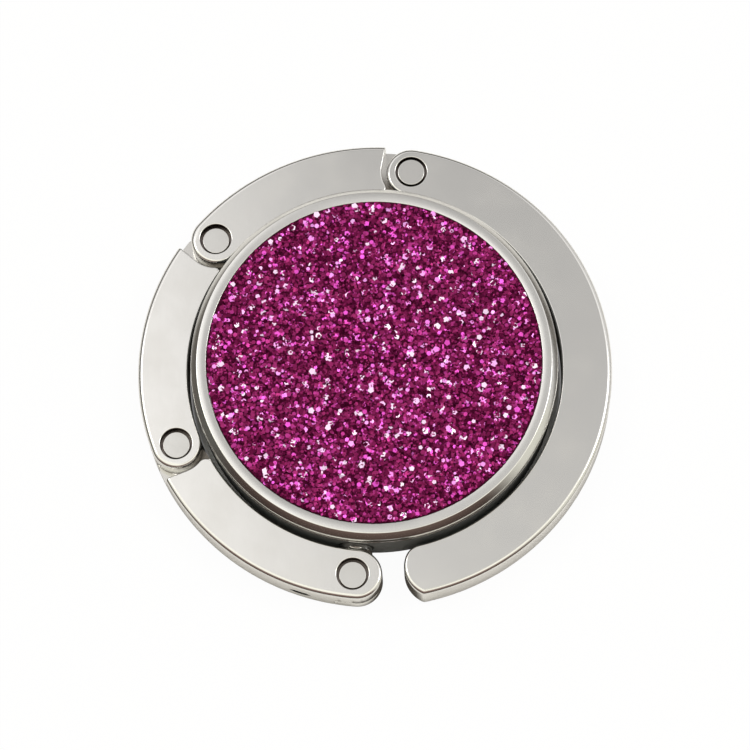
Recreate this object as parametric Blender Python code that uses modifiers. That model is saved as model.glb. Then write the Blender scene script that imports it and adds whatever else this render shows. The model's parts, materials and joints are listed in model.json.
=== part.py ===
"""Folding purse hook: a round table pad inside a ring of four hinged links.

The pad lies on the table. A swivel neck in its rim carries a chain of three
links and a long hook arm, which close round the pad as one flat ring. Metres,
+Z up, origin on the table under the pad's centre, first hinge pin towards -Y.
"""

import math

import bmesh
import bpy
from mathutils import Vector

MM = 0.001

# Ring of links
RING_OUTER_RADIUS = 22.5 * MM
LINK_WIDTH = 4.75 * MM
LINK_THICKNESS = 3.7 * MM
LINK_EDGE_RADIUS = 0.42 * MM
TONGUE_THICKNESS = 1.63 * MM
LAP_GAP = 0.12 * MM
SHOULDER_GAP = 0.68 * MM
TONGUE_EDGE_RADIUS = 0.3 * MM
HINGE_ANGLES_DEG = (270.0, 207.2, 145.3, 85.8)
HOOK_TIP_RADIUS = 2.95 * MM
HOOK_TIP_GAP = 2.5 * MM
STOP_ANGLE_DEG = 45.0
STOP_SLACK_DEG = 2.0

# Hinge pins
PIN_HEAD_RADIUS = 1.35 * MM
PIN_HEAD_GAP = 0.13 * MM
PIN_SHANK_RADIUS = 1.0 * MM
PIN_RUNNING_GAP = 0.06 * MM
PRESS_GAP = 0.03 * MM
PIN_HEAD_FLOOR = 2.55 * MM
PIN_HEAD_SEAT_GAP = 0.05 * MM
PIN_HEAD_SINKS = (0.5 * MM, 0.5 * MM, 0.5 * MM, 0.1 * MM)
PIN_HEAD_CHAMFER = 0.08 * MM
PIN_FOOT_SINK = 0.1 * MM

# Table pad, from its rim inwards and from the table upwards
PART_GAP = 0.1 * MM
LAYER_GAP = 0.06 * MM
PAD_RIM_GAP = 0.55 * MM
BOOT_WALL = 0.9 * MM
BOOT_FLOOR = 0.6 * MM
BOOT_CHAMFER = 0.3 * MM
TRAY_FLOOR = 1.0 * MM
TRAY_PLUG = 0.65 * MM
LIP_OVERHANG = 0.15 * MM
LIP_HEIGHT = 0.35 * MM
BEZEL_HEIGHT = 1.6 * MM
BEZEL_SLOPE = 0.45 * MM
BEZEL_WIDTH = 0.8 * MM
BEZEL_ROUND = 0.15 * MM
ADHESIVE_INSET = 1.32 * MM
ADHESIVE_THICKNESS = 0.2 * MM
INSERT_EDGE_GAP = 0.28 * MM
PLATE_THICKNESS = 0.8 * MM
GLITTER_THICKNESS = 0.36 * MM

# Fasteners of the bezel tray
TRAY_SCREW_COUNT = 3
TRAY_SCREW_START_DEG = 90.0
TRAY_SCREW_INSET = 6.2 * MM
SCREW_SHANK_RADIUS = 0.8 * MM
SCREW_HEAD_RADIUS = 1.4 * MM
SCREW_HEAD_HEIGHT = 0.6 * MM
SCREW_HEAD_SINK = 0.1 * MM
SCREW_LENGTH = 2.9 * MM
SCREW_HOLE_SPARE = 0.2 * MM

# Swivel neck
JOURNAL_RADIUS = 0.95 * MM
JOURNAL_GAP = 0.07 * MM
JOURNAL_TAIL = 0.7 * MM
BARREL_STEP = 0.55 * MM
BARREL_GAP = 0.15 * MM
POCKET_WALL = 1.5 * MM
POCKET_WIDTH = 4.0 * MM
POCKET_DEPTH = 2.2 * MM
WASHER_THICKNESS = 0.3 * MM
WASHER_WIDTH = 0.38 * MM
GROOVE_DEPTH = 0.3 * MM
CLIP_THICKNESS = 0.4 * MM
CLIP_MOUTH_DEG = 70.0
CLIP_GAP = 0.04 * MM

# Magnetic catch
CATCH_TIP_DISTANCE = 2.8 * MM
MAGNET_RADIUS = 1.2 * MM
MAGNET_LENGTH = 2.0 * MM
KEEPER_RADIUS = 1.1 * MM
KEEPER_LENGTH = 2.0 * MM
CATCH_SINK = 0.1 * MM

# Smoothness of the round shapes
RIM_STEP_DEG = 4.0
END_STEP_DEG = 15.0
DISC_STEPS = 60
SMALL_STEPS = 24
EDGE_STEPS = 1
FLAT_LIMIT_DEG = 0.2
SHARP_LIMIT_DEG = 30.0
OVERRUN = 1.0 * MM

# Sizes that follow from the ones above
LINK_INNER_RADIUS = RING_OUTER_RADIUS - LINK_WIDTH
HINGE_CIRCLE = RING_OUTER_RADIUS - LINK_WIDTH / 2
END_RADIUS = LINK_WIDTH / 2
HOOK_TIP_ARC = END_RADIUS + HOOK_TIP_GAP + HOOK_TIP_RADIUS
HOOK_TIP_ANGLE_DEG = HINGE_ANGLES_DEG[0] - 360 + math.degrees(HOOK_TIP_ARC / HINGE_CIRCLE)
CATCH_ARC = HOOK_TIP_ARC - HOOK_TIP_RADIUS + CATCH_TIP_DISTANCE
CATCH_ANGLE_DEG = HINGE_ANGLES_DEG[0] - 360 + math.degrees(CATCH_ARC / HINGE_CIRCLE)
LOBE_BOTTOM = TONGUE_THICKNESS + LAP_GAP
UPPER_SHOULDER_RADIUS = END_RADIUS + SHOULDER_GAP
LOWER_SHOULDER_RADIUS = END_RADIUS / math.cos(math.radians((STOP_ANGLE_DEG + STOP_SLACK_DEG) / 2))
HEAD_BORE_RADIUS = PIN_HEAD_RADIUS + PIN_HEAD_GAP
BOOT_RADIUS = LINK_INNER_RADIUS - PAD_RIM_GAP
LIP_RADIUS = BOOT_RADIUS + LIP_OVERHANG
BEZEL_TOP_OUTER_RADIUS = LIP_RADIUS - BEZEL_SLOPE
BEZEL_TOP_INNER_RADIUS = BEZEL_TOP_OUTER_RADIUS - BEZEL_WIDTH
CORE_RADIUS = BOOT_RADIUS - BOOT_WALL - PART_GAP
TRAY_SCREW_CIRCLE = CORE_RADIUS - TRAY_SCREW_INSET
CORE_BOTTOM = BOOT_FLOOR + PART_GAP
BARREL_RADIUS = JOURNAL_RADIUS + BARREL_STEP
GROOVE_RADIUS = JOURNAL_RADIUS - GROOVE_DEPTH
WASHER_RADIUS = JOURNAL_RADIUS + JOURNAL_GAP + WASHER_WIDTH
SWIVEL_HEIGHT = CORE_BOTTOM + PART_GAP + WASHER_RADIUS
CORE_HEIGHT = 2 * (SWIVEL_HEIGHT - CORE_BOTTOM)
CORE_TOP = CORE_BOTTOM + CORE_HEIGHT
TRAY_BOTTOM = CORE_TOP + PART_GAP
TRAY_FLOOR_TOP = TRAY_BOTTOM + TRAY_FLOOR
BOOT_HEIGHT = TRAY_BOTTOM + TRAY_PLUG
LIP_BOTTOM = BOOT_HEIGHT + PART_GAP
LIP_TOP = LIP_BOTTOM + LIP_HEIGHT
BEZEL_TOP = LIP_BOTTOM + BEZEL_HEIGHT
INSERT_RADIUS = BEZEL_TOP_INNER_RADIUS - INSERT_EDGE_GAP
ADHESIVE_RADIUS = INSERT_RADIUS - ADHESIVE_INSET
ADHESIVE_BOTTOM = TRAY_FLOOR_TOP + LAYER_GAP
PLATE_BOTTOM = ADHESIVE_BOTTOM + ADHESIVE_THICKNESS + LAYER_GAP
GLITTER_BOTTOM = PLATE_BOTTOM + PLATE_THICKNESS + LAYER_GAP
GLITTER_TOP = GLITTER_BOTTOM + GLITTER_THICKNESS
BARREL_OUTER_END = LINK_INNER_RADIUS - PART_GAP
BARREL_INNER_END = CORE_RADIUS + PART_GAP
NECK_STEM_END = BOOT_RADIUS + PART_GAP
POCKET_OUTER = CORE_RADIUS - POCKET_WALL
POCKET_INNER = POCKET_OUTER - POCKET_DEPTH
WASHER_OUTER = POCKET_OUTER - LAYER_GAP
CLIP_OUTER = WASHER_OUTER - WASHER_THICKNESS - LAYER_GAP
CLIP_INNER = CLIP_OUTER - CLIP_THICKNESS
JOURNAL_END = CLIP_INNER - JOURNAL_TAIL


def clear_scene():
    """Remove every object, so that the script can be run again."""
    for obj in list(bpy.data.objects):
        bpy.data.objects.remove(obj, do_unlink=True)


def new_collection(name):
    """Return a new collection linked to the scene."""
    collection = bpy.data.collections.new(name)
    bpy.context.scene.collection.children.link(collection)
    return collection


def new_material(name, colour, roughness, metallic):
    """Return a Principled material of one plain finish."""
    material = bpy.data.materials.new(name)
    material.use_nodes = True
    shader = material.node_tree.nodes["Principled BSDF"]
    shader.inputs["Base Color"].default_value = (*colour, 1.0)
    shader.inputs["Roughness"].default_value = roughness
    shader.inputs["Metallic"].default_value = metallic
    return material


def ring_place(radius, angle_deg, height=0.0):
    """Return the point at a radius and an angle round the pad's centre."""
    angle = math.radians(angle_deg)
    return Vector((radius * math.cos(angle), radius * math.sin(angle), height))


def arc(centre, radius, start_deg, end_deg, step_deg):
    """Return points on an arc, both ends included."""
    steps = max(1, round(abs(end_deg - start_deg) / step_deg))
    span = end_deg - start_deg
    return [centre + ring_place(radius, start_deg + span * i / steps) for i in range(steps + 1)]


def without_repeats(points):
    """Drop each point that lies on the one before it."""
    kept = []
    for point in points:
        if not kept or (point - kept[-1]).length > LAYER_GAP:
            kept.append(point)
    if (kept[0] - kept[-1]).length < LAYER_GAP:
        kept.pop()
    return kept


class Workshop:
    """Adds objects to the part, or to the cutters."""

    def __init__(self, parts, cutters):
        self.parts = parts
        self.cutters = cutters

    def add(self, name, mesh, origin, cutter=False):
        """Link a mesh object at its origin and return it."""
        obj = bpy.data.objects.new(name, mesh)
        obj.location = origin
        collection = self.cutters if cutter else self.parts
        collection.objects.link(obj)
        if cutter:
            obj.hide_render = True
            obj.display_type = "WIRE"
        return obj

    def plate(self, name, outline, bottom, top, origin, edge=0.0, cutter=False):
        """Extrude a flat outline between two heights, with rounded edges."""
        curve = bpy.data.curves.new(name, "CURVE")
        curve.dimensions = "2D"
        curve.fill_mode = "BOTH"
        curve.extrude = (top - bottom) / 2 - edge
        if edge > 0:
            curve.bevel_depth = edge
            curve.bevel_resolution = EDGE_STEPS
            curve.offset = -edge
        points = without_repeats(outline)
        spline = curve.splines.new("POLY")
        spline.points.add(len(points) - 1)
        for spline_point, point in zip(spline.points, points):
            spline_point.co = (point.x - origin.x, point.y - origin.y, 0, 1)
        spline.use_cyclic_u = True
        flat = bpy.data.objects.new(name, curve)
        self.cutters.objects.link(flat)
        middle = Vector((origin.x, origin.y, (top + bottom) / 2))
        bpy.context.view_layer.update()
        evaluated = flat.evaluated_get(bpy.context.evaluated_depsgraph_get())
        mesh = bpy.data.meshes.new_from_object(evaluated)
        bpy.data.objects.remove(flat, do_unlink=True)
        shape = bmesh.new()
        shape.from_mesh(mesh)
        bmesh.ops.remove_doubles(shape, verts=shape.verts, dist=LAYER_GAP / 10)
        bmesh.ops.dissolve_limit(
            shape, angle_limit=math.radians(FLAT_LIMIT_DEG), verts=shape.verts, edges=shape.edges
        )
        bmesh.ops.recalc_face_normals(shape, faces=shape.faces)
        bmesh.ops.translate(shape, verts=shape.verts, vec=(0, 0, middle.z - origin.z))
        shape.to_mesh(mesh)
        shape.free()
        mesh.name = name
        return self.add(name, mesh, origin, cutter)

    def turned(self, name, profile, origin, steps, closed=False, cutter=False):
        """Turn a profile of (radius, height) points round the object's Z axis."""
        mesh = bpy.data.meshes.new(name)
        count = len(profile)
        edges = [(i, i + 1) for i in range(count - 1)]
        if closed:
            edges.append((count - 1, 0))
        mesh.from_pydata([(radius, 0, height) for radius, height in profile], edges, [])
        obj = self.add(name, mesh, origin, cutter)
        screw = obj.modifiers.new("Turn", "SCREW")
        screw.steps = steps
        screw.render_steps = steps
        screw.use_merge_vertices = True
        screw.merge_threshold = LAYER_GAP / 10
        return obj

    def cylinder(self, name, radius, length, origin, steps, cutter=False):
        """Add a cylinder that stands on its origin, along its own Z axis."""
        mesh = bpy.data.meshes.new(name)
        shape = bmesh.new()
        bmesh.ops.create_cone(
            shape, cap_ends=True, segments=steps, radius1=radius, radius2=radius, depth=length
        )
        bmesh.ops.translate(shape, verts=shape.verts, vec=(0, 0, length / 2))
        shape.to_mesh(mesh)
        shape.free()
        return self.add(name, mesh, origin, cutter)

    def block(self, name, size, centre, cutter=False):
        """Add a box of a given size about its centre."""
        mesh = bpy.data.meshes.new(name)
        shape = bmesh.new()
        bmesh.ops.create_cube(shape, size=1.0)
        bmesh.ops.scale(shape, verts=shape.verts, vec=size)
        shape.to_mesh(mesh)
        shape.free()
        return self.add(name, mesh, centre, cutter)


def combine(obj, tool, operation="DIFFERENCE"):
    """Cut a tool out of an object, or join the two."""
    boolean = obj.modifiers.new(tool.name, "BOOLEAN")
    boolean.operation = operation
    boolean.solver = "EXACT"
    boolean.object = tool


def dress(obj, material, parent=None):
    """Give an object its material, its smooth shading and its parent."""
    obj.data.materials.append(material)
    obj.data.shade_smooth()
    obj.data.set_sharp_from_angle(angle=math.radians(SHARP_LIMIT_DEG))
    if parent is not None:
        bpy.context.view_layer.update()
        obj.parent = parent
        obj.matrix_parent_inverse = parent.matrix_world.inverted()


def point_outwards(obj, angle_deg):
    """Lay an object's own Z axis down, so that it points out of the ring."""
    obj.rotation_euler = (0, math.pi / 2, math.radians(angle_deg))


def hinge_place(index):
    """Return the table-level point on a hinge pin's axis."""
    return ring_place(HINGE_CIRCLE, HINGE_ANGLES_DEG[index])


def link_outline(start_deg, end_deg):
    """Return the outline of a link, round about the pins at both its ends."""
    centre = Vector((0, 0, 0))
    start_pin = ring_place(HINGE_CIRCLE, start_deg)
    end_pin = ring_place(HINGE_CIRCLE, end_deg)
    points = arc(centre, RING_OUTER_RADIUS, start_deg, end_deg, RIM_STEP_DEG)
    points += arc(end_pin, END_RADIUS, end_deg, end_deg - 180, END_STEP_DEG)
    points += arc(centre, LINK_INNER_RADIUS, end_deg, start_deg, RIM_STEP_DEG)
    points += arc(start_pin, END_RADIUS, start_deg + 180, start_deg, END_STEP_DEG)
    return points


def rim_crossing_deg(middle_deg, rim_radius):
    """Return the angle at which the hook's tip arc meets a rim."""
    cosine = (HINGE_CIRCLE**2 + rim_radius**2 - HOOK_TIP_RADIUS**2) / (2 * HINGE_CIRCLE * rim_radius)
    return middle_deg - math.degrees(math.acos(cosine))


def hook_outline(start_deg, tip_middle_deg):
    """Return the outline of the hook arm, with its blunt curved tip."""
    centre = Vector((0, 0, 0))
    start_pin = ring_place(HINGE_CIRCLE, start_deg)
    tip_middle = ring_place(HINGE_CIRCLE, tip_middle_deg)
    outer_deg = rim_crossing_deg(tip_middle_deg, RING_OUTER_RADIUS)
    inner_deg = rim_crossing_deg(tip_middle_deg, LINK_INNER_RADIUS)
    outer_offset = ring_place(RING_OUTER_RADIUS, outer_deg) - tip_middle
    inner_offset = ring_place(LINK_INNER_RADIUS, inner_deg) - tip_middle
    outer_way = math.degrees(math.atan2(outer_offset.y, outer_offset.x))
    inner_way = math.degrees(math.atan2(inner_offset.y, inner_offset.x))
    inner_way -= 360 * math.ceil((inner_way - outer_way) / 360)
    points = arc(centre, RING_OUTER_RADIUS, start_deg, outer_deg, RIM_STEP_DEG)
    points += arc(tip_middle, HOOK_TIP_RADIUS, outer_way, inner_way, END_STEP_DEG)
    points += arc(centre, LINK_INNER_RADIUS, inner_deg, start_deg, RIM_STEP_DEG)
    points += arc(start_pin, END_RADIUS, start_deg + 180, start_deg, END_STEP_DEG)
    return points


def shoulder_outline(pin_deg):
    """Return the pocket outline at a link's upper shoulder: an arc, open outwards."""
    pin = ring_place(HINGE_CIRCLE, pin_deg)
    outward = ring_place(END_RADIUS + OVERRUN, pin_deg)
    points = arc(pin, UPPER_SHOULDER_RADIUS, pin_deg - 90, pin_deg - 270, END_STEP_DEG)
    points.append(points[-1] + outward)
    points.append(points[0] + outward)
    return points


def open_hinge_end(shop, link, index):
    """Cut a link's first end: the step over the tongue, and the pin's bore."""
    pin = hinge_place(index)
    below = pin - Vector((0, 0, OVERRUN))
    name = f"{link.name}_step_cutter"
    height = OVERRUN + LOBE_BOTTOM
    combine(link, shop.cylinder(name, LOWER_SHOULDER_RADIUS, height, below, DISC_STEPS, cutter=True))
    top = LINK_THICKNESS + OVERRUN
    shank_bore = PIN_SHANK_RADIUS + PIN_RUNNING_GAP
    profile = [(0, top), (HEAD_BORE_RADIUS, top), (HEAD_BORE_RADIUS, PIN_HEAD_FLOOR)]
    profile += [(shank_bore, PIN_HEAD_FLOOR), (shank_bore, 0), (0, 0)]
    combine(link, shop.turned(f"{link.name}_bore_cutter", profile, pin, SMALL_STEPS, cutter=True))


def open_tongue_end(shop, link, index):
    """Cut a link's second end: the shoulder above its tongue, and the pin's seat."""
    pin = hinge_place(index)
    top = LINK_THICKNESS + OVERRUN
    name = f"{link.name}_shoulder_cutter"
    outline = shoulder_outline(HINGE_ANGLES_DEG[index])
    combine(link, shop.plate(name, outline, TONGUE_THICKNESS, top, pin, cutter=True))
    name = f"{link.name}_seat_cutter"
    below = pin - Vector((0, 0, OVERRUN))
    seat_radius = PIN_SHANK_RADIUS + PRESS_GAP
    combine(link, shop.cylinder(name, seat_radius, top, below, SMALL_STEPS, cutter=True))


def clear_neck_stem(shop, link):
    """Notch the first link's inner rim, under its lobe, for the neck's stem."""
    pin_deg = HINGE_ANGLES_DEG[0]
    size = (HINGE_CIRCLE - NECK_STEM_END, 2 * (BARREL_RADIUS + PART_GAP), LOBE_BOTTOM + OVERRUN)
    centre = ring_place((HINGE_CIRCLE + NECK_STEM_END) / 2, pin_deg, (LOBE_BOTTOM - OVERRUN) / 2)
    notch = shop.block("neck_stem_cutter", size, centre, cutter=True)
    notch.rotation_euler = (0, 0, math.radians(pin_deg))
    combine(link, notch)


def make_link(shop, name, index, material, parent):
    """Make one of the three short links between two hinge pins."""
    outline = link_outline(HINGE_ANGLES_DEG[index], HINGE_ANGLES_DEG[index + 1])
    link = shop.plate(name, outline, 0, LINK_THICKNESS, hinge_place(index), LINK_EDGE_RADIUS)
    open_hinge_end(shop, link, index)
    open_tongue_end(shop, link, index + 1)
    if index == 0:
        clear_neck_stem(shop, link)
    dress(link, material, parent)
    return link


def make_hook_arm(shop, material, parent):
    """Make the long arm that hangs the bag, with the keeper's bore near its tip."""
    index = len(HINGE_ANGLES_DEG) - 1
    outline = hook_outline(HINGE_ANGLES_DEG[index], HOOK_TIP_ANGLE_DEG)
    arm = shop.plate("hook_arm", outline, 0, LINK_THICKNESS, hinge_place(index), LINK_EDGE_RADIUS)
    open_hinge_end(shop, arm, index)
    reach = OVERRUN + CATCH_SINK + KEEPER_LENGTH + PRESS_GAP
    start = ring_place(LINK_INNER_RADIUS - OVERRUN, CATCH_ANGLE_DEG, LINK_THICKNESS / 2)
    bore_radius = KEEPER_RADIUS + PRESS_GAP
    bore = shop.cylinder("keeper_bore_cutter", bore_radius, reach, start, SMALL_STEPS, cutter=True)
    point_outwards(bore, CATCH_ANGLE_DEG)
    combine(arm, bore)
    dress(arm, material, parent)
    return arm


def make_hinge_pin(shop, index, material, parent):
    """Make a headed pin, pressed into the tongue that carries it."""
    head_top = LINK_THICKNESS - PIN_HEAD_SINKS[index]
    head_bottom = PIN_HEAD_FLOOR + PIN_HEAD_SEAT_GAP
    profile = [(0, head_top), (PIN_HEAD_RADIUS - PIN_HEAD_CHAMFER, head_top)]
    profile += [(PIN_HEAD_RADIUS, head_top - PIN_HEAD_CHAMFER), (PIN_HEAD_RADIUS, head_bottom)]
    profile += [(PIN_SHANK_RADIUS, head_bottom), (PIN_SHANK_RADIUS, PIN_FOOT_SINK), (0, PIN_FOOT_SINK)]
    pin = shop.turned(f"hinge_pin_{index + 1}", profile, hinge_place(index), SMALL_STEPS)
    dress(pin, material, parent)
    return pin


def neck_tongue_outline():
    """Return the outline of the neck's tongue: round about the pin, with a stem."""
    pin = hinge_place(0)
    pin_deg = HINGE_ANGLES_DEG[0]
    half_stem_deg = math.degrees(math.asin(BARREL_RADIUS / END_RADIUS))
    start_deg = pin_deg - 180 - half_stem_deg
    end_deg = pin_deg - 540 + half_stem_deg
    points = arc(pin, END_RADIUS, start_deg, end_deg, END_STEP_DEG)
    stem_end = ring_place(NECK_STEM_END, pin_deg)
    side = ring_place(BARREL_RADIUS, pin_deg + 90)
    points.append(stem_end - side)
    points.append(stem_end + side)
    return points


def make_swivel_neck(shop, material, parent):
    """Make the neck: a turned barrel in the pad's rim, joined to the first tongue."""
    groove_outer = CLIP_OUTER + CLIP_GAP
    groove_inner = CLIP_INNER - CLIP_GAP
    profile = [(0, BARREL_OUTER_END), (BARREL_RADIUS, BARREL_OUTER_END)]
    profile += [(BARREL_RADIUS, BARREL_INNER_END), (JOURNAL_RADIUS, BARREL_INNER_END)]
    profile += [(JOURNAL_RADIUS, groove_outer), (GROOVE_RADIUS, groove_outer)]
    profile += [(GROOVE_RADIUS, groove_inner), (JOURNAL_RADIUS, groove_inner)]
    profile += [(JOURNAL_RADIUS, JOURNAL_END), (0, JOURNAL_END)]
    origin = Vector((0, 0, SWIVEL_HEIGHT))
    neck = shop.turned("swivel_neck", profile, origin, SMALL_STEPS)
    point_outwards(neck, HINGE_ANGLES_DEG[0])
    pin = hinge_place(0)
    outline = neck_tongue_outline()
    tongue = shop.plate(
        "neck_tongue_union", outline, 0, TONGUE_THICKNESS, pin, TONGUE_EDGE_RADIUS, cutter=True
    )
    combine(neck, tongue, "UNION")
    below = pin - Vector((0, 0, OVERRUN))
    seat_radius = PIN_SHANK_RADIUS + PRESS_GAP
    seat_depth = LINK_THICKNESS + OVERRUN
    combine(neck, shop.cylinder("neck_seat_cutter", seat_radius, seat_depth, below, SMALL_STEPS, cutter=True))
    dress(neck, material, parent)
    return neck


def swivel_station(distance):
    """Return the point on the swivel's axis at a distance from the pad's centre."""
    return ring_place(distance, HINGE_ANGLES_DEG[0], SWIVEL_HEIGHT)


def make_swivel_washer(shop, material, parent):
    """Make the friction washer between the pad's core and the clip."""
    bore = JOURNAL_RADIUS + JOURNAL_GAP
    profile = [(WASHER_RADIUS, WASHER_THICKNESS), (WASHER_RADIUS, 0)]
    profile += [(bore, 0), (bore, WASHER_THICKNESS)]
    place = swivel_station(WASHER_OUTER - WASHER_THICKNESS)
    washer = shop.turned("swivel_washer", profile, place, SMALL_STEPS, closed=True)
    point_outwards(washer, HINGE_ANGLES_DEG[0])
    dress(washer, material, parent)
    return washer


def make_swivel_clip(shop, material, parent):
    """Make the open spring clip in the journal's groove."""
    centre = Vector((0, 0, 0))
    half_mouth = CLIP_MOUTH_DEG / 2
    outline = arc(centre, WASHER_RADIUS, half_mouth, 360 - half_mouth, END_STEP_DEG)
    outline += arc(centre, GROOVE_RADIUS + CLIP_GAP, 360 - half_mouth, half_mouth, END_STEP_DEG)
    clip = shop.plate("swivel_clip", outline, 0, CLIP_THICKNESS, centre)
    clip.location = swivel_station(CLIP_INNER)
    point_outwards(clip, HINGE_ANGLES_DEG[0])
    dress(clip, material, parent)
    return clip


def radial_hole(shop, name, radius, inner, outer, angle_deg, height):
    """Return a cutter for a round hole that points out of the pad's centre."""
    start = ring_place(inner, angle_deg, height)
    hole = shop.cylinder(name, radius, outer - inner, start, SMALL_STEPS, cutter=True)
    point_outwards(hole, angle_deg)
    return hole


def make_rubber_boot(shop, material, parent):
    """Make the rubber cup that grips the table and wraps the pad's core."""
    inner = BOOT_RADIUS - BOOT_WALL
    profile = [(0, BOOT_FLOOR), (inner, BOOT_FLOOR), (inner, BOOT_HEIGHT), (BOOT_RADIUS, BOOT_HEIGHT)]
    profile += [(BOOT_RADIUS, BOOT_CHAMFER), (BOOT_RADIUS - BOOT_CHAMFER, 0), (0, 0)]
    boot = shop.turned("rubber_boot", profile, Vector((0, 0, 0)), DISC_STEPS)
    hole = radial_hole(
        shop,
        "boot_neck_cutter",
        BARREL_RADIUS + BARREL_GAP,
        inner - OVERRUN / 2,
        BOOT_RADIUS + OVERRUN,
        HINGE_ANGLES_DEG[0],
        SWIVEL_HEIGHT,
    )
    combine(boot, hole)
    dress(boot, material, parent)
    return boot


def tray_screw_places():
    """Return the table-level places of the screws under the insert."""
    pitch = 360 / TRAY_SCREW_COUNT
    angles = [TRAY_SCREW_START_DEG + pitch * i for i in range(TRAY_SCREW_COUNT)]
    return [ring_place(TRAY_SCREW_CIRCLE, angle) for angle in angles]


def make_base_core(shop, material, parent):
    """Make the cast core, with the swivel's bore and pocket and the magnet's bore."""
    profile = [(0, CORE_TOP), (CORE_RADIUS, CORE_TOP), (CORE_RADIUS, CORE_BOTTOM), (0, CORE_BOTTOM)]
    core = shop.turned("base_core", profile, Vector((0, 0, 0)), DISC_STEPS)
    pin_deg = HINGE_ANGLES_DEG[0]
    journal_bore = JOURNAL_RADIUS + JOURNAL_GAP
    bore_start = POCKET_OUTER - POCKET_DEPTH / 2
    bore_end = CORE_RADIUS + OVERRUN
    name = "journal_bore_cutter"
    combine(core, radial_hole(shop, name, journal_bore, bore_start, bore_end, pin_deg, SWIVEL_HEIGHT))
    pocket_size = (POCKET_DEPTH, POCKET_WIDTH, CORE_HEIGHT + OVERRUN)
    pocket_centre = ring_place((POCKET_OUTER + POCKET_INNER) / 2, pin_deg, (CORE_TOP + CORE_BOTTOM) / 2)
    pocket = shop.block("swivel_pocket_cutter", pocket_size, pocket_centre, cutter=True)
    pocket.rotation_euler = (0, 0, math.radians(pin_deg))
    combine(core, pocket)
    magnet_start = CORE_RADIUS - CATCH_SINK - MAGNET_LENGTH - LAYER_GAP
    magnet_bore = MAGNET_RADIUS + PRESS_GAP
    name = "magnet_cutter"
    combine(core, radial_hole(shop, name, magnet_bore, magnet_start, bore_end, CATCH_ANGLE_DEG, SWIVEL_HEIGHT))
    hole_depth = SCREW_LENGTH - TRAY_FLOOR + SCREW_HOLE_SPARE
    hole_radius = SCREW_SHANK_RADIUS + PRESS_GAP
    for number, place in enumerate(tray_screw_places(), start=1):
        name = f"core_screw_cutter_{number}"
        start = place + Vector((0, 0, CORE_TOP - hole_depth))
        combine(core, shop.cylinder(name, hole_radius, hole_depth + OVERRUN, start, SMALL_STEPS, cutter=True))
    dress(core, material, parent)
    return core


def make_bezel_tray(shop, material, parent):
    """Make the plated tray: a bezel round the insert and a lip over the boot."""
    profile = [(0, TRAY_FLOOR_TOP), (BEZEL_TOP_INNER_RADIUS, TRAY_FLOOR_TOP)]
    profile += [(BEZEL_TOP_INNER_RADIUS, BEZEL_TOP - BEZEL_ROUND)]
    profile += [(BEZEL_TOP_INNER_RADIUS + BEZEL_ROUND, BEZEL_TOP)]
    profile += [(BEZEL_TOP_OUTER_RADIUS - BEZEL_ROUND, BEZEL_TOP)]
    profile += [(BEZEL_TOP_OUTER_RADIUS, BEZEL_TOP - BEZEL_ROUND)]
    profile += [(LIP_RADIUS, LIP_TOP), (LIP_RADIUS, LIP_BOTTOM), (CORE_RADIUS, LIP_BOTTOM)]
    profile += [(CORE_RADIUS, TRAY_BOTTOM), (0, TRAY_BOTTOM)]
    tray = shop.turned("bezel_tray", profile, Vector((0, 0, 0)), DISC_STEPS)
    top = TRAY_FLOOR_TOP + LAYER_GAP
    cone_top = TRAY_FLOOR_TOP - SCREW_HEAD_SINK
    cone_bottom = cone_top - SCREW_HEAD_HEIGHT - LAYER_GAP
    bottom = TRAY_BOTTOM - OVERRUN
    head_radius = SCREW_HEAD_RADIUS + PART_GAP
    shank_radius = SCREW_SHANK_RADIUS + PART_GAP
    hole = [(0, top), (head_radius, top), (head_radius, cone_top)]
    hole += [(shank_radius, cone_bottom), (shank_radius, bottom), (0, bottom)]
    for number, place in enumerate(tray_screw_places(), start=1):
        combine(tray, shop.turned(f"tray_screw_cutter_{number}", hole, place, SMALL_STEPS, cutter=True))
    dress(tray, material, parent)
    return tray


def make_tray_screw(shop, number, place, material, parent):
    """Make one flat-headed screw that holds the tray on the core."""
    head_top = TRAY_FLOOR_TOP - SCREW_HEAD_SINK
    head_bottom = head_top - SCREW_HEAD_HEIGHT
    tip = TRAY_FLOOR_TOP - SCREW_LENGTH
    profile = [(0, head_top), (SCREW_HEAD_RADIUS, head_top), (SCREW_SHANK_RADIUS, head_bottom)]
    profile += [(SCREW_SHANK_RADIUS, tip), (0, tip)]
    screw = shop.turned(f"tray_screw_{number}", profile, place, SMALL_STEPS)
    dress(screw, material, parent)
    return screw


def make_closure_magnet(shop, material, parent):
    """Make the magnet in the core's rim, which holds the hook's tip shut."""
    start = CORE_RADIUS - CATCH_SINK - MAGNET_LENGTH
    place = ring_place(start, CATCH_ANGLE_DEG, SWIVEL_HEIGHT)
    magnet = shop.cylinder("closure_magnet", MAGNET_RADIUS, MAGNET_LENGTH, place, SMALL_STEPS)
    point_outwards(magnet, CATCH_ANGLE_DEG)
    dress(magnet, material, parent)
    return magnet


def make_tip_keeper(shop, material, parent):
    """Make the steel plug in the hook's inner rim that faces the magnet."""
    place = ring_place(LINK_INNER_RADIUS + CATCH_SINK, CATCH_ANGLE_DEG, LINK_THICKNESS / 2)
    keeper = shop.cylinder("tip_keeper", KEEPER_RADIUS, KEEPER_LENGTH, place, SMALL_STEPS)
    point_outwards(keeper, CATCH_ANGLE_DEG)
    dress(keeper, material, parent)
    return keeper


def make_disc_layer(shop, name, radius, bottom, thickness, material, parent):
    """Make one flat round layer of the insert."""
    layer = shop.cylinder(name, radius, thickness, Vector((0, 0, bottom)), DISC_STEPS)
    dress(layer, material, parent)
    return layer


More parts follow.
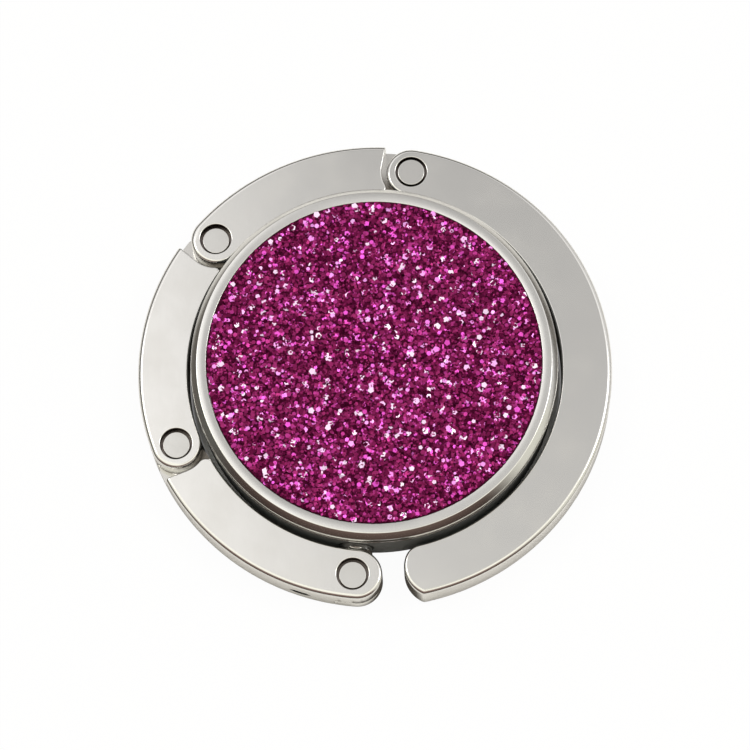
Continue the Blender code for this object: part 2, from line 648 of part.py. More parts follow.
def main():
    """Build the whole purse hook."""
    clear_scene()
    shop = Workshop(new_collection("purse_hook"), new_collection("cutters"))

    plated = new_material("nickel_plate", (0.72, 0.71, 0.68), 0.16, 1.0)
    steel = new_material("bright_steel", (0.62, 0.61, 0.59), 0.3, 1.0)
    zinc = new_material("cast_zinc", (0.42, 0.42, 0.43), 0.55, 1.0)
    rubber = new_material("dark_rubber", (0.09, 0.095, 0.095), 0.75, 0.0)
    magnet_plate = new_material("magnet_plate", (0.55, 0.55, 0.56), 0.25, 1.0)
    glue = new_material("white_adhesive", (0.82, 0.82, 0.78), 0.8, 0.0)
    plastic = new_material("grey_plastic", (0.45, 0.45, 0.47), 0.5, 0.0)
    glitter = new_material("magenta_glitter", (0.36, 0.03, 0.16), 0.35, 0.3)

    pad = bpy.data.objects.new("pad", None)
    shop.parts.objects.link(pad)
    make_rubber_boot(shop, rubber, pad)
    make_base_core(shop, zinc, pad)
    make_bezel_tray(shop, plated, pad)
    for number, place in enumerate(tray_screw_places(), start=1):
        make_tray_screw(shop, number, place, steel, pad)
    make_closure_magnet(shop, magnet_plate, pad)
    make_disc_layer(shop, "insert_adhesive", ADHESIVE_RADIUS, ADHESIVE_BOTTOM, ADHESIVE_THICKNESS, glue, pad)
    make_disc_layer(shop, "insert_plate", INSERT_RADIUS, PLATE_BOTTOM, PLATE_THICKNESS, plastic, pad)
    make_disc_layer(shop, "glitter_sheet", INSERT_RADIUS, GLITTER_BOTTOM, GLITTER_THICKNESS, glitter, pad)

    neck = make_swivel_neck(shop, plated, pad)
    make_swivel_washer(shop, steel, neck)
    make_swivel_clip(shop, steel, neck)
    carrier = neck
    for index, name in enumerate(("link_a", "link_b", "link_c")):
        make_hinge_pin(shop, index, plated, carrier)
        carrier = make_link(shop, name, index, plated, carrier)
    make_hinge_pin(shop, len(HINGE_ANGLES_DEG) - 1, plated, carrier)
    arm = make_hook_arm(shop, plated, carrier)
    make_tip_keeper(shop, steel, arm)


main()
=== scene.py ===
"""Looks of a folding purse hook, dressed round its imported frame.

The frame gives every piece its place. The pieces that show are modelled here
again with fine edges, as someone at a bench would shape them, and the hidden
ones get a finish of their own. Metres, +Z up, as in the frame.
"""

import json
import logging
import math
import random
from collections.abc import Callable, Iterator
from contextlib import contextmanager
from dataclasses import dataclass, field
from enum import Enum
from typing import ClassVar

import bmesh
import bpy
from mathutils import Matrix, Vector, noise


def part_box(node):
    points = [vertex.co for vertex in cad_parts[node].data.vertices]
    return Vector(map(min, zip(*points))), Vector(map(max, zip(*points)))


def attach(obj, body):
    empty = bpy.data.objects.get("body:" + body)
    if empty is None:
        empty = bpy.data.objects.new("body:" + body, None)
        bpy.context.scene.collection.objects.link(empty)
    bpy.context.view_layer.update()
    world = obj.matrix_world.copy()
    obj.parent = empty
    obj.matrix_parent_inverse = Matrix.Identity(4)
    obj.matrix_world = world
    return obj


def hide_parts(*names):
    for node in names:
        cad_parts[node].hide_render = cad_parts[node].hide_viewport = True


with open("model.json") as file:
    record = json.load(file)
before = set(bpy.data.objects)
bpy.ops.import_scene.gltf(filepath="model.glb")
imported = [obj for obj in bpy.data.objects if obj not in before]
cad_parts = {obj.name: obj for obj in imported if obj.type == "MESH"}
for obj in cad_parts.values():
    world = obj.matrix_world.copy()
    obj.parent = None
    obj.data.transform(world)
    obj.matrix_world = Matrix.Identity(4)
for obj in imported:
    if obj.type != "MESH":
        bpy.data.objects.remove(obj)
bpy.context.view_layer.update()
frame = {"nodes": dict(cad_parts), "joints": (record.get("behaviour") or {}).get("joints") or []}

MM = 0.001
CENTRE = Vector((0, 0, 0))
log = logging.getLogger("purse_hook")

# Slacks, from the loosest to the closest, and how far every cut runs on
LITTLE = 0.01 * MM
TOUCH = 0.008 * MM
SAME_LENGTH = 0.002 * MM
SAME_POINT = 0.001 * MM
DOUBLED = 0.0005 * MM
OVERRUN = 1.0 * MM

# Creases past the first angle can be rounded off, and past the second one they stay sharp in the shading
RIDGE_DEG = 30.0
SHARP_DEG = 35.0
LARGE_FACE_WEIGHT = 100

# The sockets of a Mix node for colours, by number
MIX_FACTOR, MIX_FIRST, MIX_SECOND, MIX_RESULT = 0, 6, 7, 2

# A Span is a low and a high value, and a Ramp is a Span and what its two ends become
Span = tuple[float, float]
Ramp = tuple[float, float, float, float]
Triple = tuple[float, float, float]
Colour = Triple
Stops = tuple[tuple[float, Colour], ...]
Profile = list[Span]
Test = Callable[[Vector], bool]


# Shader maths

class Signal:
    """A number that varies over a surface, with Python's arithmetic."""

    def __init__(self, tree: bpy.types.NodeTree, socket: bpy.types.NodeSocket) -> None:
        """Wrap a node's output socket."""
        self.tree = tree
        self.socket = socket

    def maths(self, operation: str, first: "Signal | float", second: "Signal | float") -> "Signal":
        """Add one Math node.

        Args:
            operation: The Math node's operation.
            first: Its first value.
            second: Its second value.

        Returns:
            The node's result.
        """
        node = self.tree.nodes.new("ShaderNodeMath")
        node.operation = operation
        for slot, value in zip(node.inputs, (first, second)):
            if isinstance(value, Signal):
                self.tree.links.new(value.socket, slot)
            else:
                slot.default_value = value
        return Signal(self.tree, node.outputs[0])

    def __add__(self, other: "Signal | float") -> "Signal":
        """Return the sum."""
        return self.maths("ADD", self, other)

    def __radd__(self, other: float) -> "Signal":
        """Return the sum, with a number first."""
        return self.maths("ADD", other, self)

    def __sub__(self, other: "Signal | float") -> "Signal":
        """Return the difference."""
        return self.maths("SUBTRACT", self, other)

    def __rsub__(self, other: float) -> "Signal":
        """Return the difference, with a number first."""
        return self.maths("SUBTRACT", other, self)

    def __mul__(self, other: "Signal | float") -> "Signal":
        """Return the product."""
        return self.maths("MULTIPLY", self, other)

    def __rmul__(self, other: float) -> "Signal":
        """Return the product, with a number first."""
        return self.maths("MULTIPLY", other, self)

    def at_least(self, other: "Signal | float") -> "Signal":
        """Return the larger value."""
        return self.maths("MAXIMUM", self, other)

    def at_most(self, other: "Signal | float") -> "Signal":
        """Return the smaller value."""
        return self.maths("MINIMUM", self, other)


Link = Signal | bpy.types.NodeSocket


class Recipe:
    """A node tree that is written down node by node."""

    def __init__(self, tree: bpy.types.NodeTree) -> None:
        """Start from an empty tree."""
        self.tree = tree
        tree.nodes.clear()

    def node(self, kind: str, settings: dict | None = None, values: dict | None = None) -> bpy.types.Node:
        """Add a node of any kind.

        Args:
            kind: The node's type.
            settings: Its properties, or its colour ramp's stops under "stops".
            values: Values or links for its input sockets, by name or number.

        Returns:
            The new node.
        """
        made = self.tree.nodes.new(kind)
        for name, value in (settings or {}).items():
            if name == "stops":
                self.set_stops(made.color_ramp, value)
            else:
                setattr(made, name, value)
        for key, value in (values or {}).items():
            socket = made.inputs[key]
            if isinstance(value, Signal):
                self.tree.links.new(value.socket, socket)
            elif isinstance(value, bpy.types.NodeSocket):
                self.tree.links.new(value, socket)
            else:
                socket.default_value = value
        return made

    @staticmethod
    def set_stops(ramp: bpy.types.ColorRamp, stops: Stops) -> None:
        """Give a colour ramp its stops.

        Args:
            ramp: The colour ramp.
            stops: Each stop's place from 0 to 1, and its colour.
        """
        while len(ramp.elements) < len(stops):
            ramp.elements.new(1.0)
        for element, (position, colour) in zip(ramp.elements, stops):
            element.position = position
            element.color = (*colour, 1.0)

    def signal(self, node: bpy.types.Node, output: str | int = 0) -> Signal:
        """Return one of a node's outputs as a signal."""
        return Signal(self.tree, node.outputs[output])

    def object_place(self, stretch: Triple = (1.0, 1.0, 1.0), turn_deg: float = 0.0) -> Link:
        """Find the piece's own coordinates.

        Args:
            stretch: What each of them is multiplied by.
            turn_deg: How far they turn about Z.

        Returns:
            The stretched and turned coordinates.
        """
        place = self.node("ShaderNodeTexCoord")
        turn = (0.0, 0.0, math.radians(turn_deg))
        values = {"Vector": place.outputs["Object"], "Scale": stretch, "Rotation": turn}
        return self.node("ShaderNodeMapping", None, values).outputs["Vector"]

    def attribute(self, name: str) -> Signal:
        """Return a number that each point of the piece holds."""
        return self.signal(self.node("ShaderNodeAttribute", {"attribute_name": name}), "Fac")

    def parts(self, vector: Link) -> list[Signal]:
        """Return a vector's X, Y and Z."""
        split = self.node("ShaderNodeSeparateXYZ", None, {"Vector": vector})
        return [self.signal(split, name) for name in "XYZ"]

    def measure(self, operation: str, first: Link, second: Link | Vector | None = None) -> Signal:
        """Measure a vector, alone or against another.

        Args:
            operation: The Vector Math node's operation.
            first: The vector.
            second: The other one, where the operation takes two.

        Returns:
            The measure.
        """
        values = {0: first} if second is None else {0: first, 1: second}
        return self.signal(self.node("ShaderNodeVectorMath", {"operation": operation}, values), "Value")

    def spread(self, value: Signal, low: float, high: float, to_low: float, to_high: float) -> Signal:
        """Map a range of values smoothly onto another.

        Args:
            value: The value.
            low: Where the range starts.
            high: Where it ends.
            to_low: What its start becomes.
            to_high: What its end becomes.

        Returns:
            The mapped value, which stays the same past either end.
        """
        values = {"Value": value, "From Min": low, "From Max": high, "To Min": to_low, "To Max": to_high}
        return self.signal(self.node("ShaderNodeMapRange", {"interpolation_type": "SMOOTHSTEP"}, values))

    def blend(self, factor: "Signal | float", first: Colour | Link, second: Colour | Link) -> Link:
        """Mix two colours.

        Args:
            factor: The share of the second one.
            first: The first colour.
            second: The second colour.

        Returns:
            The mixed colour.
        """
        values = {MIX_FACTOR: factor, MIX_FIRST: self.full(first), MIX_SECOND: self.full(second)}
        return self.node("ShaderNodeMix", {"data_type": "RGBA"}, values).outputs[MIX_RESULT]

    @staticmethod
    def full(colour: Colour | Link) -> tuple | Link:
        """Give a plain colour its alpha."""
        return (*colour, 1.0) if isinstance(colour, tuple) else colour

    def bump(self, height: Signal, depth: float, under: Link | None = None) -> Link:
        """Raise a surface by a pattern.

        Args:
            height: The pattern, from 0 to 1.
            depth: What 1 stands for, in metres.
            under: The normals of a coarser pattern under it.

        Returns:
            The normals that follow it.
        """
        values = {"Height": height, "Distance": depth, "Strength": 1.0}
        if under is not None:
            values["Normal"] = under
        return self.node("ShaderNodeBump", None, values).outputs["Normal"]


# Finishes

@dataclass(frozen=True)
class Grain:
    """A layer of soft noise: its waves to the metre, its detail, and how it is stretched and turned."""

    scale: float
    detail: float
    stretch: Triple = (1.0, 1.0, 1.0)
    turn_deg: float = 0.0

    def over(self, recipe: Recipe) -> Signal:
        """Lay the noise over a piece.

        Args:
            recipe: The nodes of the piece's material.

        Returns:
            The noise, from 0 to 1.
        """
        place = recipe.object_place(self.stretch, self.turn_deg)
        values = {"Vector": place, "Scale": self.scale, "Detail": self.detail}
        return recipe.signal(recipe.node("ShaderNodeTexNoise", None, values))


class Finish:
    """A finish that makes its Blender material once."""

    made: ClassVar[dict[str, bpy.types.Material]] = {}

    def material(self) -> bpy.types.Material:
        """Make the finish's material, or find the one made before.

        Returns:
            The material.
        """
        name = type(self).__name__
        if name not in self.made:
            material = bpy.data.materials.new(name)
            material.use_nodes = True
            recipe = Recipe(material.node_tree)
            shader = recipe.node("ShaderNodeBsdfPrincipled", None, self.values(recipe))
            recipe.node("ShaderNodeOutputMaterial", None, {"Surface": shader.outputs["BSDF"]})
            self.made[name] = material
        return self.made[name]

    def values(self, recipe: Recipe) -> dict:
        """Return the values and links of the shader's sockets."""
        raise NotImplementedError


@dataclass(frozen=True)
class NickelPlate(Finish):
    """Bright nickel on a lightly polished casting: slow waves, smudges and fine scratches, with painted shade
    in the laps, the bores and the slit.
    """

    recess: ClassVar[str] = "recess"

    tint: Colour = (0.74, 0.728, 0.71)
    tint_worn: Colour = (0.72, 0.706, 0.685)
    wear: Grain = Grain(260.0, 4.0)
    wear_span: Span = (0.35, 0.75)
    roughness: float = 0.13
    smudge: float = 0.05
    waves: Grain = Grain(105.0, 1.0)
    wave_depth: float = 0.012 * MM
    ripples: Grain = Grain(900.0, 2.0)
    ripple_depth: float = 0.0016 * MM
    scratches_along: Grain = Grain(520.0, 3.0, (1.0, 24.0, 1.0), 24.0)
    scratches_across: Grain = Grain(520.0, 3.0, (19.0, 1.0, 1.0), -31.0)
    scratch_depth: float = 0.0006 * MM
    # Painted shade: the tongues' upper faces in the narrow laps under the lobes are darkened towards this
    # tint
    lap_shade_tint: Colour = (0.2, 0.18, 0.16)
    lap_levels: Span = (1.7 * MM, 2.1 * MM)
    lap_rims: Span = (18.8 * MM, 20.8 * MM)
    lap_outside: float = 0.25
    lap_facing: Span = (0.5, 0.9)
    lap_dullness: float = 0.15
    # Painted shade: deep in the lobes' bores and on the slit's floor the plating is darkened to this tint
    recess_shade_tint: Colour = (0.15, 0.13, 0.12)

    def painted_lap_shade(self, recipe: Recipe) -> Signal:
        """Find the tongues' upper faces in the narrow laps, where shade is painted.

        Args:
            recipe: The material's nodes.

        Returns:
            1 on those faces, less towards the outer rim, and 0 elsewhere.
        """
        place = recipe.object_place()
        level = recipe.parts(place)[2]
        facing = recipe.parts(recipe.node("ShaderNodeTexCoord").outputs["Normal"])[2]
        low = recipe.spread(level, *self.lap_levels, 1.0, 0.0)
        inside = recipe.spread(recipe.measure("LENGTH", place), *self.lap_rims, 1.0, self.lap_outside)
        return low * inside * recipe.spread(facing, *self.lap_facing, 0.0, 1.0)

    def values(self, recipe: Recipe) -> dict:
        """Mix the plating.

        Args:
            recipe: The material's nodes.

        Returns:
            The values and links of the shader's sockets.
        """
        painted_lap_shade = self.painted_lap_shade(recipe)
        wear = recipe.spread(self.wear.over(recipe), *self.wear_span, 0.0, 1.0)
        scratches = self.scratches_along.over(recipe) + self.scratches_across.over(recipe)
        waves = recipe.bump(self.waves.over(recipe), self.wave_depth)
        ripples = recipe.bump(self.ripples.over(recipe), self.ripple_depth, waves)
        # Painted shade: the laps are darkened towards their tint
        plate = recipe.blend(painted_lap_shade, recipe.blend(wear, self.tint, self.tint_worn), self.lap_shade_tint)
        return {
            # Painted shade in the bores and on the slit's floor, read from the points' own marks
            "Base Color": recipe.blend(recipe.attribute(self.recess), plate, self.recess_shade_tint),
            "Metallic": 1.0,
            "Roughness": self.roughness + self.smudge * wear + self.lap_dullness * painted_lap_shade,
            "Normal": recipe.bump(scratches, self.scratch_depth, ripples),
        }


@dataclass(frozen=True)
class PinNickel(NickelPlate):
    """The duller nickel of a turned pin."""

    tint: Colour = (0.665, 0.653, 0.636)
    tint_worn: Colour = (0.60, 0.588, 0.57)
    roughness: float = 0.18


@dataclass(frozen=True)
class MattRubber(Finish):
    """Matt dark grey rubber with a fine grain and a little dust."""

    tint: Colour = (0.165, 0.173, 0.173)
    tint_dusty: Colour = (0.21, 0.215, 0.212)
    dust: Grain = Grain(900.0, 6.0)
    dust_span: Span = (0.45, 0.8)
    grain: Grain = Grain(6500.0, 3.0)
    grain_depth: float = 0.018 * MM
    roughness: float = 0.66
    unevenness: float = 0.2

    def values(self, recipe: Recipe) -> dict:
        """Mix the rubber.

        Args:
            recipe: The material's nodes.

        Returns:
            The values and links of the shader's sockets.
        """
        dust = recipe.spread(self.dust.over(recipe), *self.dust_span, 0.0, 1.0)
        grain = self.grain.over(recipe)
        return {
            "Base Color": recipe.blend(dust, self.tint, self.tint_dusty),
            "Roughness": self.roughness + self.unevenness * grain,
            "Normal": recipe.bump(grain, self.grain_depth),
        }


@dataclass(frozen=True)
class GlitterBed(Finish):
    """The dark magenta glue in which the flakes lie."""

    tint: Colour = (0.05, 0.0005, 0.016)
    tint_lit: Colour = (0.15, 0.005, 0.055)
    specks: Grain = Grain(2600.0, 4.0)
    speck_span: Span = (0.42, 0.72)
    speck_depth: float = 0.08 * MM
    roughness: float = 0.42
    unevenness: float = 0.3
    metallic: float = 0.9

    def values(self, recipe: Recipe) -> dict:
        """Mix the glue.

        Args:
            recipe: The material's nodes.

        Returns:
            The values and links of the shader's sockets.
        """
        specks = recipe.spread(self.specks.over(recipe), *self.speck_span, 0.0, 1.0)
        return {
            "Base Color": recipe.blend(specks, self.tint, self.tint_lit),
            "Roughness": self.roughness + self.unevenness * specks,
            "Metallic": self.metallic,
            "Normal": recipe.bump(specks, self.speck_depth),
        }


@dataclass(frozen=True)
class GlitterFlake(Finish):
    """Metallised magenta film, with each flake's tint read from its own attribute; the palest tints are
    painted glints.
    """

    attribute: ClassVar[str] = "flake_tint"

    metallic: float = 0.96
    roughness: float = 0.26
    unevenness: float = 0.15
    film: Grain = Grain(9000.0, 2.0)
    film_depth: float = 0.004 * MM
    stops: Stops = (
        (0.0, (0.042, 0.0004, 0.014)),
        (0.2, (0.105, 0.0045, 0.039)),
        (0.45, (0.185, 0.011, 0.075)),
        (0.7, (0.30, 0.025, 0.13)),
        (0.85, (0.50, 0.045, 0.29)),
        # Painted glints: the last stops run to hot pink and near-white pink, as if those flakes caught a lamp
        (0.92, (1.0, 0.13, 0.80)),
        (0.96, (1.0, 0.42, 0.97)),
        (1.0, (1.0, 0.76, 1.0)),
    )

    def values(self, recipe: Recipe) -> dict:
        """Mix the film.

        Args:
            recipe: The material's nodes.

        Returns:
            The values and links of the shader's sockets.
        """
        tint = recipe.attribute(self.attribute)
        colour = recipe.node("ShaderNodeValToRGB", {"stops": self.stops}, {"Fac": tint})
        film = self.film.over(recipe)
        return {
            "Base Color": colour.outputs["Color"],
            "Metallic": self.metallic,
            "Roughness": self.roughness + self.unevenness * film,
            "Normal": recipe.bump(film, self.film_depth),
        }


@dataclass(frozen=True)
class HiddenFinish(Finish):
    """The finish of a hidden part: two tints in soft patches, over a fine grain."""

    tint: Colour
    tint_dull: Colour
    roughness: float
    unevenness: float
    patches: Grain
    depth: float
    metallic: float = 0.0
    grain: Grain | None = None

    def values(self, recipe: Recipe) -> dict:
        """Mix the finish, with the patches as its grain where it has none of its own.

        Args:
            recipe: The material's nodes.

        Returns:
            The values and links of the shader's sockets.
        """
        patches = self.patches.over(recipe)
        grain = self.grain.over(recipe) if self.grain else patches
        return {
            "Base Color": recipe.blend(patches, self.tint, self.tint_dull),
            "Metallic": self.metallic,
            "Roughness": self.roughness + self.unevenness * patches,
            "Normal": recipe.bump(grain, self.depth),
        }


@dataclass(frozen=True)
class TurnedSteel(HiddenFinish):
    """Bright turned steel, for the screws, the washer, the clip and the keeper."""

    tint: Colour = (0.60, 0.59, 0.57)
    tint_dull: Colour = (0.47, 0.46, 0.45)
    roughness: float = 0.28
    unevenness: float = 0.15
    patches: Grain = Grain(700.0, 3.0)
    depth: float = 0.002 * MM
    metallic: float = 1.0
    grain: Grain = Grain(2600.0, 2.0, (1.0, 1.0, 14.0))


@dataclass(frozen=True)
class CastZinc(HiddenFinish):
    """Dull grey zinc as it comes from the mould, for the core."""

    tint: Colour = (0.42, 0.42, 0.43)
    tint_dull: Colour = (0.27, 0.27, 0.28)
    roughness: float = 0.42
    unevenness: float = 0.25
    patches: Grain = Grain(420.0, 5.0)
    depth: float = 0.012 * MM
    metallic: float = 0.9
    grain: Grain = Grain(3400.0, 3.0)


@dataclass(frozen=True)
class MagnetPlate(HiddenFinish):
    """The smooth plating of the magnet."""

    tint: Colour = (0.55, 0.55, 0.56)
    tint_dull: Colour = (0.44, 0.44, 0.45)
    roughness: float = 0.2
    unevenness: float = 0.1
    patches: Grain = Grain(900.0, 2.0)
    depth: float = 0.003 * MM
    metallic: float = 1.0


@dataclass(frozen=True)
class FoamGlue(HiddenFinish):
    """Pale adhesive foam under the insert."""

    tint: Colour = (0.80, 0.80, 0.76)
    tint_dull: Colour = (0.68, 0.67, 0.62)
    roughness: float = 0.75
    unevenness: float = 0.15
    patches: Grain = Grain(5200.0, 4.0)
    depth: float = 0.03 * MM


@dataclass(frozen=True)
class BackingBoard(HiddenFinish):
    """The dark board behind the glitter face."""

    tint: Colour = (0.30, 0.29, 0.30)
    tint_dull: Colour = (0.20, 0.19, 0.20)
    roughness: float = 0.6
    unevenness: float = 0.2
    patches: Grain = Grain(2400.0, 4.0, (1.0, 1.0, 9.0))
    depth: float = 0.01 * MM


HIDDEN_NODES: tuple[tuple[HiddenFinish, tuple[str, ...]], ...] = (
    (CastZinc(), ("base_core",)),
    (TurnedSteel(), ("tray_screw_1", "tray_screw_2", "tray_screw_3")),
    (TurnedSteel(), ("swivel_washer", "swivel_clip", "tip_keeper")),
    (MagnetPlate(), ("closure_magnet",)),
    (FoamGlue(), ("insert_adhesive",)),
    (BackingBoard(), ("insert_plate",)),
)


# Modelling

class Pick(Enum):
    """What a selection in edit mode is made of."""

    VERTEX = "VERT"
    EDGE = "EDGE"


def around(radius: float, angle_deg: float, height: float = 0.0) -> Vector:
    """Return the point at a radius and an angle round the pad's centre."""
    angle = math.radians(angle_deg)
    return Vector((radius * math.cos(angle), radius * math.sin(angle), height))


def angle_of(point: Vector) -> float:
    """Return a point's angle round the pad's centre, in degrees from 0 to 360."""
    return math.degrees(math.atan2(point.y, point.x)) % 360


def near(value: float, target: float, slack: float = SAME_LENGTH) -> bool:
    """Return whether two lengths are the same within a slack."""
    return abs(value - target) < slack


class Piece:
    """A piece on the bench, shaped with Blender's own operators."""

    def __init__(self, name: str) -> None:
        """Take the primitive that was just added, with its place in its mesh.

        Args:
            name: The piece's name.
        """
        self.obj = bpy.context.active_object
        self.obj.name = name
        self.obj.data.name = name
        bpy.ops.object.transform_apply(location=True, rotation=True, scale=True)

    @classmethod
    def from_circle(
        cls, name: str, radius: float, place: Vector, steps: int, turn_deg: float = 0.0
    ) -> "Piece":
        """Start from a circle of edges.

        Args:
            name: The piece's name.
            radius: The circle's radius.
            place: Its centre.
            steps: The number of its edges.
            turn_deg: The angle of one of its points.

        Returns:
            The new piece.
        """
        put_down()
        turn = (0, 0, math.radians(turn_deg))
        bpy.ops.mesh.primitive_circle_add(vertices=steps, radius=radius, location=place, rotation=turn)
        return cls(name)

    @classmethod
    def from_block(cls, name: str, size: Vector, place: Vector, turn_deg: float = 0.0) -> "Piece":
        """Start from a block.

        Args:
            name: The piece's name.
            size: The block's length, width and height.
            place: Its centre.
            turn_deg: How far it is turned about Z.

        Returns:
            The new piece.
        """
        put_down()
        turn = (0, 0, math.radians(turn_deg))
        bpy.ops.mesh.primitive_cube_add(size=1, location=place, rotation=turn, scale=size)
        return cls(name)

    def take(self) -> None:
        """Select this piece alone and make it active."""
        put_down()
        self.obj.select_set(True)
        bpy.context.view_layer.objects.active = self.obj

    @contextmanager
    def editing(self) -> Iterator[None]:
        """Open the piece in edit mode, and close it again.

        Yields:
            Nothing, while the piece is open.
        """
        self.take()
        bpy.ops.object.mode_set(mode="EDIT")
        yield
        bpy.ops.object.mode_set(mode="OBJECT")

    def pick(self, kind: Pick, test: Test) -> None:
        """Select the parts of the open mesh whose points all pass a test.

        Args:
            kind: What is selected.
            test: What each point has to pass.
        """
        bpy.ops.mesh.select_mode(type=kind.value)
        bpy.ops.mesh.select_all(action="DESELECT")
        shape = bmesh.from_edit_mesh(self.obj.data)
        for part in shape.verts if kind is Pick.VERTEX else shape.edges:
            points = (part,) if kind is Pick.VERTEX else part.verts
            if all(test(point.co) for point in points):
                part.select_set(True)
        shape.select_flush_mode()
        bmesh.update_edit_mesh(self.obj.data)

    def pick_point(self, place: Vector) -> None:
        """Select the open mesh's points at a place."""
        self.pick(Pick.VERTEX, lambda spot: (spot - place).length < SAME_POINT)

    def pick_ridges(self, test: Test) -> None:
        """Select the open mesh's outer creases whose points all pass a test.

        Args:
            test: What each point has to pass.
        """
        bpy.ops.mesh.select_mode(type="EDGE")
        bpy.ops.mesh.select_all(action="DESELECT")
        shape = bmesh.from_edit_mesh(self.obj.data)
        for edge in shape.edges:
            is_ridge = edge.is_manifold and edge.calc_face_angle_signed() > math.radians(RIDGE_DEG)
            if is_ridge and all(test(vertex.co) for vertex in edge.verts):
                edge.select_set(True)
        bmesh.update_edit_mesh(self.obj.data)

    def pick_all(self) -> None:
        """Select the whole open mesh."""
        bpy.ops.mesh.select_all(action="SELECT")

    def draw_line(self, start: Vector, offset: Vector) -> Vector:
        """Draw an edge from the point at a place.

        Args:
            start: Where the edge starts.
            offset: The way to its other end.

        Returns:
            Where the edge ends.
        """
        self.pick_point(start)
        bpy.ops.mesh.extrude_vertices_move(TRANSFORM_OT_translate={"value": offset})
        return start + offset

    def draw_arc(self, start: Vector, centre: Vector, turn_deg: float, step: float) -> Vector:
        """Draw an arc from the point at a place.

        Args:
            start: Where the arc starts.
            centre: The point that it turns about.
            turn_deg: How far it turns, counter-clockwise from above.
            step: The length of one of its edges.

        Returns:
            Where the arc ends.
        """
        self.pick_point(start)
        turn = math.radians(turn_deg)
        steps = max(1, math.ceil(abs(turn) * (start - centre).length / step))
        bpy.ops.mesh.spin(steps=steps, dupli=False, angle=-turn, center=centre, axis=(0, 0, 1))
        return centre + Matrix.Rotation(turn, 3, "Z") @ (start - centre)

    def join_doubles(self) -> None:
        """Merge the open mesh's doubled points."""
        self.pick_all()
        bpy.ops.mesh.remove_doubles(threshold=DOUBLED)

    def pull_up(self, height: float) -> None:
        """Extrude the selection straight up."""
        bpy.ops.mesh.extrude_region_move(TRANSFORM_OT_translate={"value": (0, 0, height)})

    def loft(self, profile: Profile, centre: Vector) -> None:
        """Extrude the selected ring of edges step by step along a turned profile.

        Args:
            profile: (radius, height) of each ring, the selected one first.
            centre: A point on the axis that the rings turn round, at height 0.
        """
        for (radius, height), (next_radius, next_height) in zip(profile, profile[1:]):
            self.pull_up(next_height - height)
            share = next_radius / radius
            level = centre + Vector((0, 0, next_height))
            bpy.ops.transform.resize(value=(share, share, 1), center_override=level)

    def cap(self) -> None:
        """Close the selected ring of edges with a face, or join two selected points."""
        bpy.ops.mesh.edge_face_add()

    def fill(self) -> None:
        """Close the whole open outline with a face."""
        self.pick_all()
        self.cap()

    def face_outwards(self) -> None:
        """Turn every face of the open mesh outwards."""
        self.pick_all()
        bpy.ops.mesh.normals_make_consistent(inside=False)

    def apply(self, kind: str, **settings: object) -> None:
        """Add a modifier and apply it.

        Args:
            kind: The modifier's type.
            settings: Its properties.
        """
        self.take()
        modifier = self.obj.modifiers.new(kind.title(), kind)
        for name, value in settings.items():
            setattr(modifier, name, value)
        bpy.ops.object.modifier_apply(modifier=modifier.name)

    def cut(self, tool: "Piece") -> None:
        """Cut a tool out of the piece, and throw the tool away."""
        self.apply("BOOLEAN", operation="DIFFERENCE", solver="EXACT", object=tool.obj)
        bpy.data.objects.remove(tool.obj, do_unlink=True)

    def weld(self, other: "Piece") -> None:
        """Join another closed piece to this one."""
        self.apply("BOOLEAN", operation="UNION", solver="EXACT", object=other.obj)
        bpy.data.objects.remove(other.obj, do_unlink=True)

    def round_picked(self, width: float, segments: int) -> None:
        """Round the selected edges of the open mesh.

        Args:
            width: How far the rounding reaches from each edge.
            segments: The number of its steps.
        """
        bpy.ops.mesh.bevel(
            offset=width, segments=segments, affect="EDGES", clamp_overlap=False, loop_slide=True
        )

    def roll_outline(self, width: float, share: Callable[[Vector], float], segments: int) -> None:
        """Round the outlines of a plate's two faces, by a share of a width that varies along them.

        Args:
            width: The widest rounding.
            share: Gives the share of it at the middle of each edge.
            segments: The number of faces across the rounding.
        """
        with self.editing():
            shape = bmesh.from_edit_mesh(self.obj.data)
            shares = shape.edges.layers.float.new("bevel_weight_edge")
            for edge in shape.edges:
                first, second = (vertex.co for vertex in edge.verts)
                if near(first.z, second.z):
                    edge[shares] = share((first + second) / 2)
            bmesh.update_edit_mesh(self.obj.data)
        self.apply("BEVEL", width=width, segments=segments, limit_method="WEIGHT", use_clamp_overlap=False)

    def mark(self, name: str, test: Test) -> None:
        """Give each point an attribute of 1 where it passes a test, and of 0 elsewhere."""
        marks = [float(test(vertex.co)) for vertex in self.obj.data.vertices]
        self.obj.data.attributes.new(name, "FLOAT", "POINT").data.foreach_set("value", marks)

    def smooth(self) -> None:
        """Shade the piece smooth, with sharp creases and true flat faces."""
        self.take()
        bpy.ops.object.shade_smooth_by_angle(angle=math.radians(SHARP_DEG))
        self.apply("WEIGHTED_NORMAL", weight=LARGE_FACE_WEIGHT, keep_sharp=True, mode="FACE_AREA")

    def lay_out(self, angle_deg: float, height: float) -> None:
        """Lay down a piece that stands on the centre, so that it points out of the ring.

        Args:
            angle_deg: The angle round the pad's centre at which it points.
            height: The height at which it lies.
        """
        spin = Matrix.Rotation(math.radians(angle_deg), 4, "Z") @ Matrix.Rotation(math.pi / 2, 4, "Y")
        self.obj.matrix_world = Matrix.Translation((0, 0, height)) @ spin
        self.take()
        bpy.ops.object.transform_apply(location=True, rotation=True, scale=True)

    def dress(self, finish: Finish, body: str, slot: str, *nodes: str) -> None:
        """Give the piece its finish and its body, in place of some nodes.

        Args:
            finish: What it is coated with.
            body: The frame's body that it rides on.
            slot: The record's material slot; not used.
            nodes: The frame's nodes that it stands for.
        """
        self.obj.data.materials.clear()
        self.obj.data.materials.append(finish.material())
        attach(self.obj, body)
        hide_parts(*nodes)
        log.info("%s: %d faces", self.obj.name, len(self.obj.data.polygons))


def put_down() -> None:
    """Leave edit mode and deselect every object."""
    if bpy.context.object is not None and bpy.context.object.mode != "OBJECT":
        bpy.ops.object.mode_set(mode="OBJECT")
    bpy.ops.object.select_all(action="DESELECT")


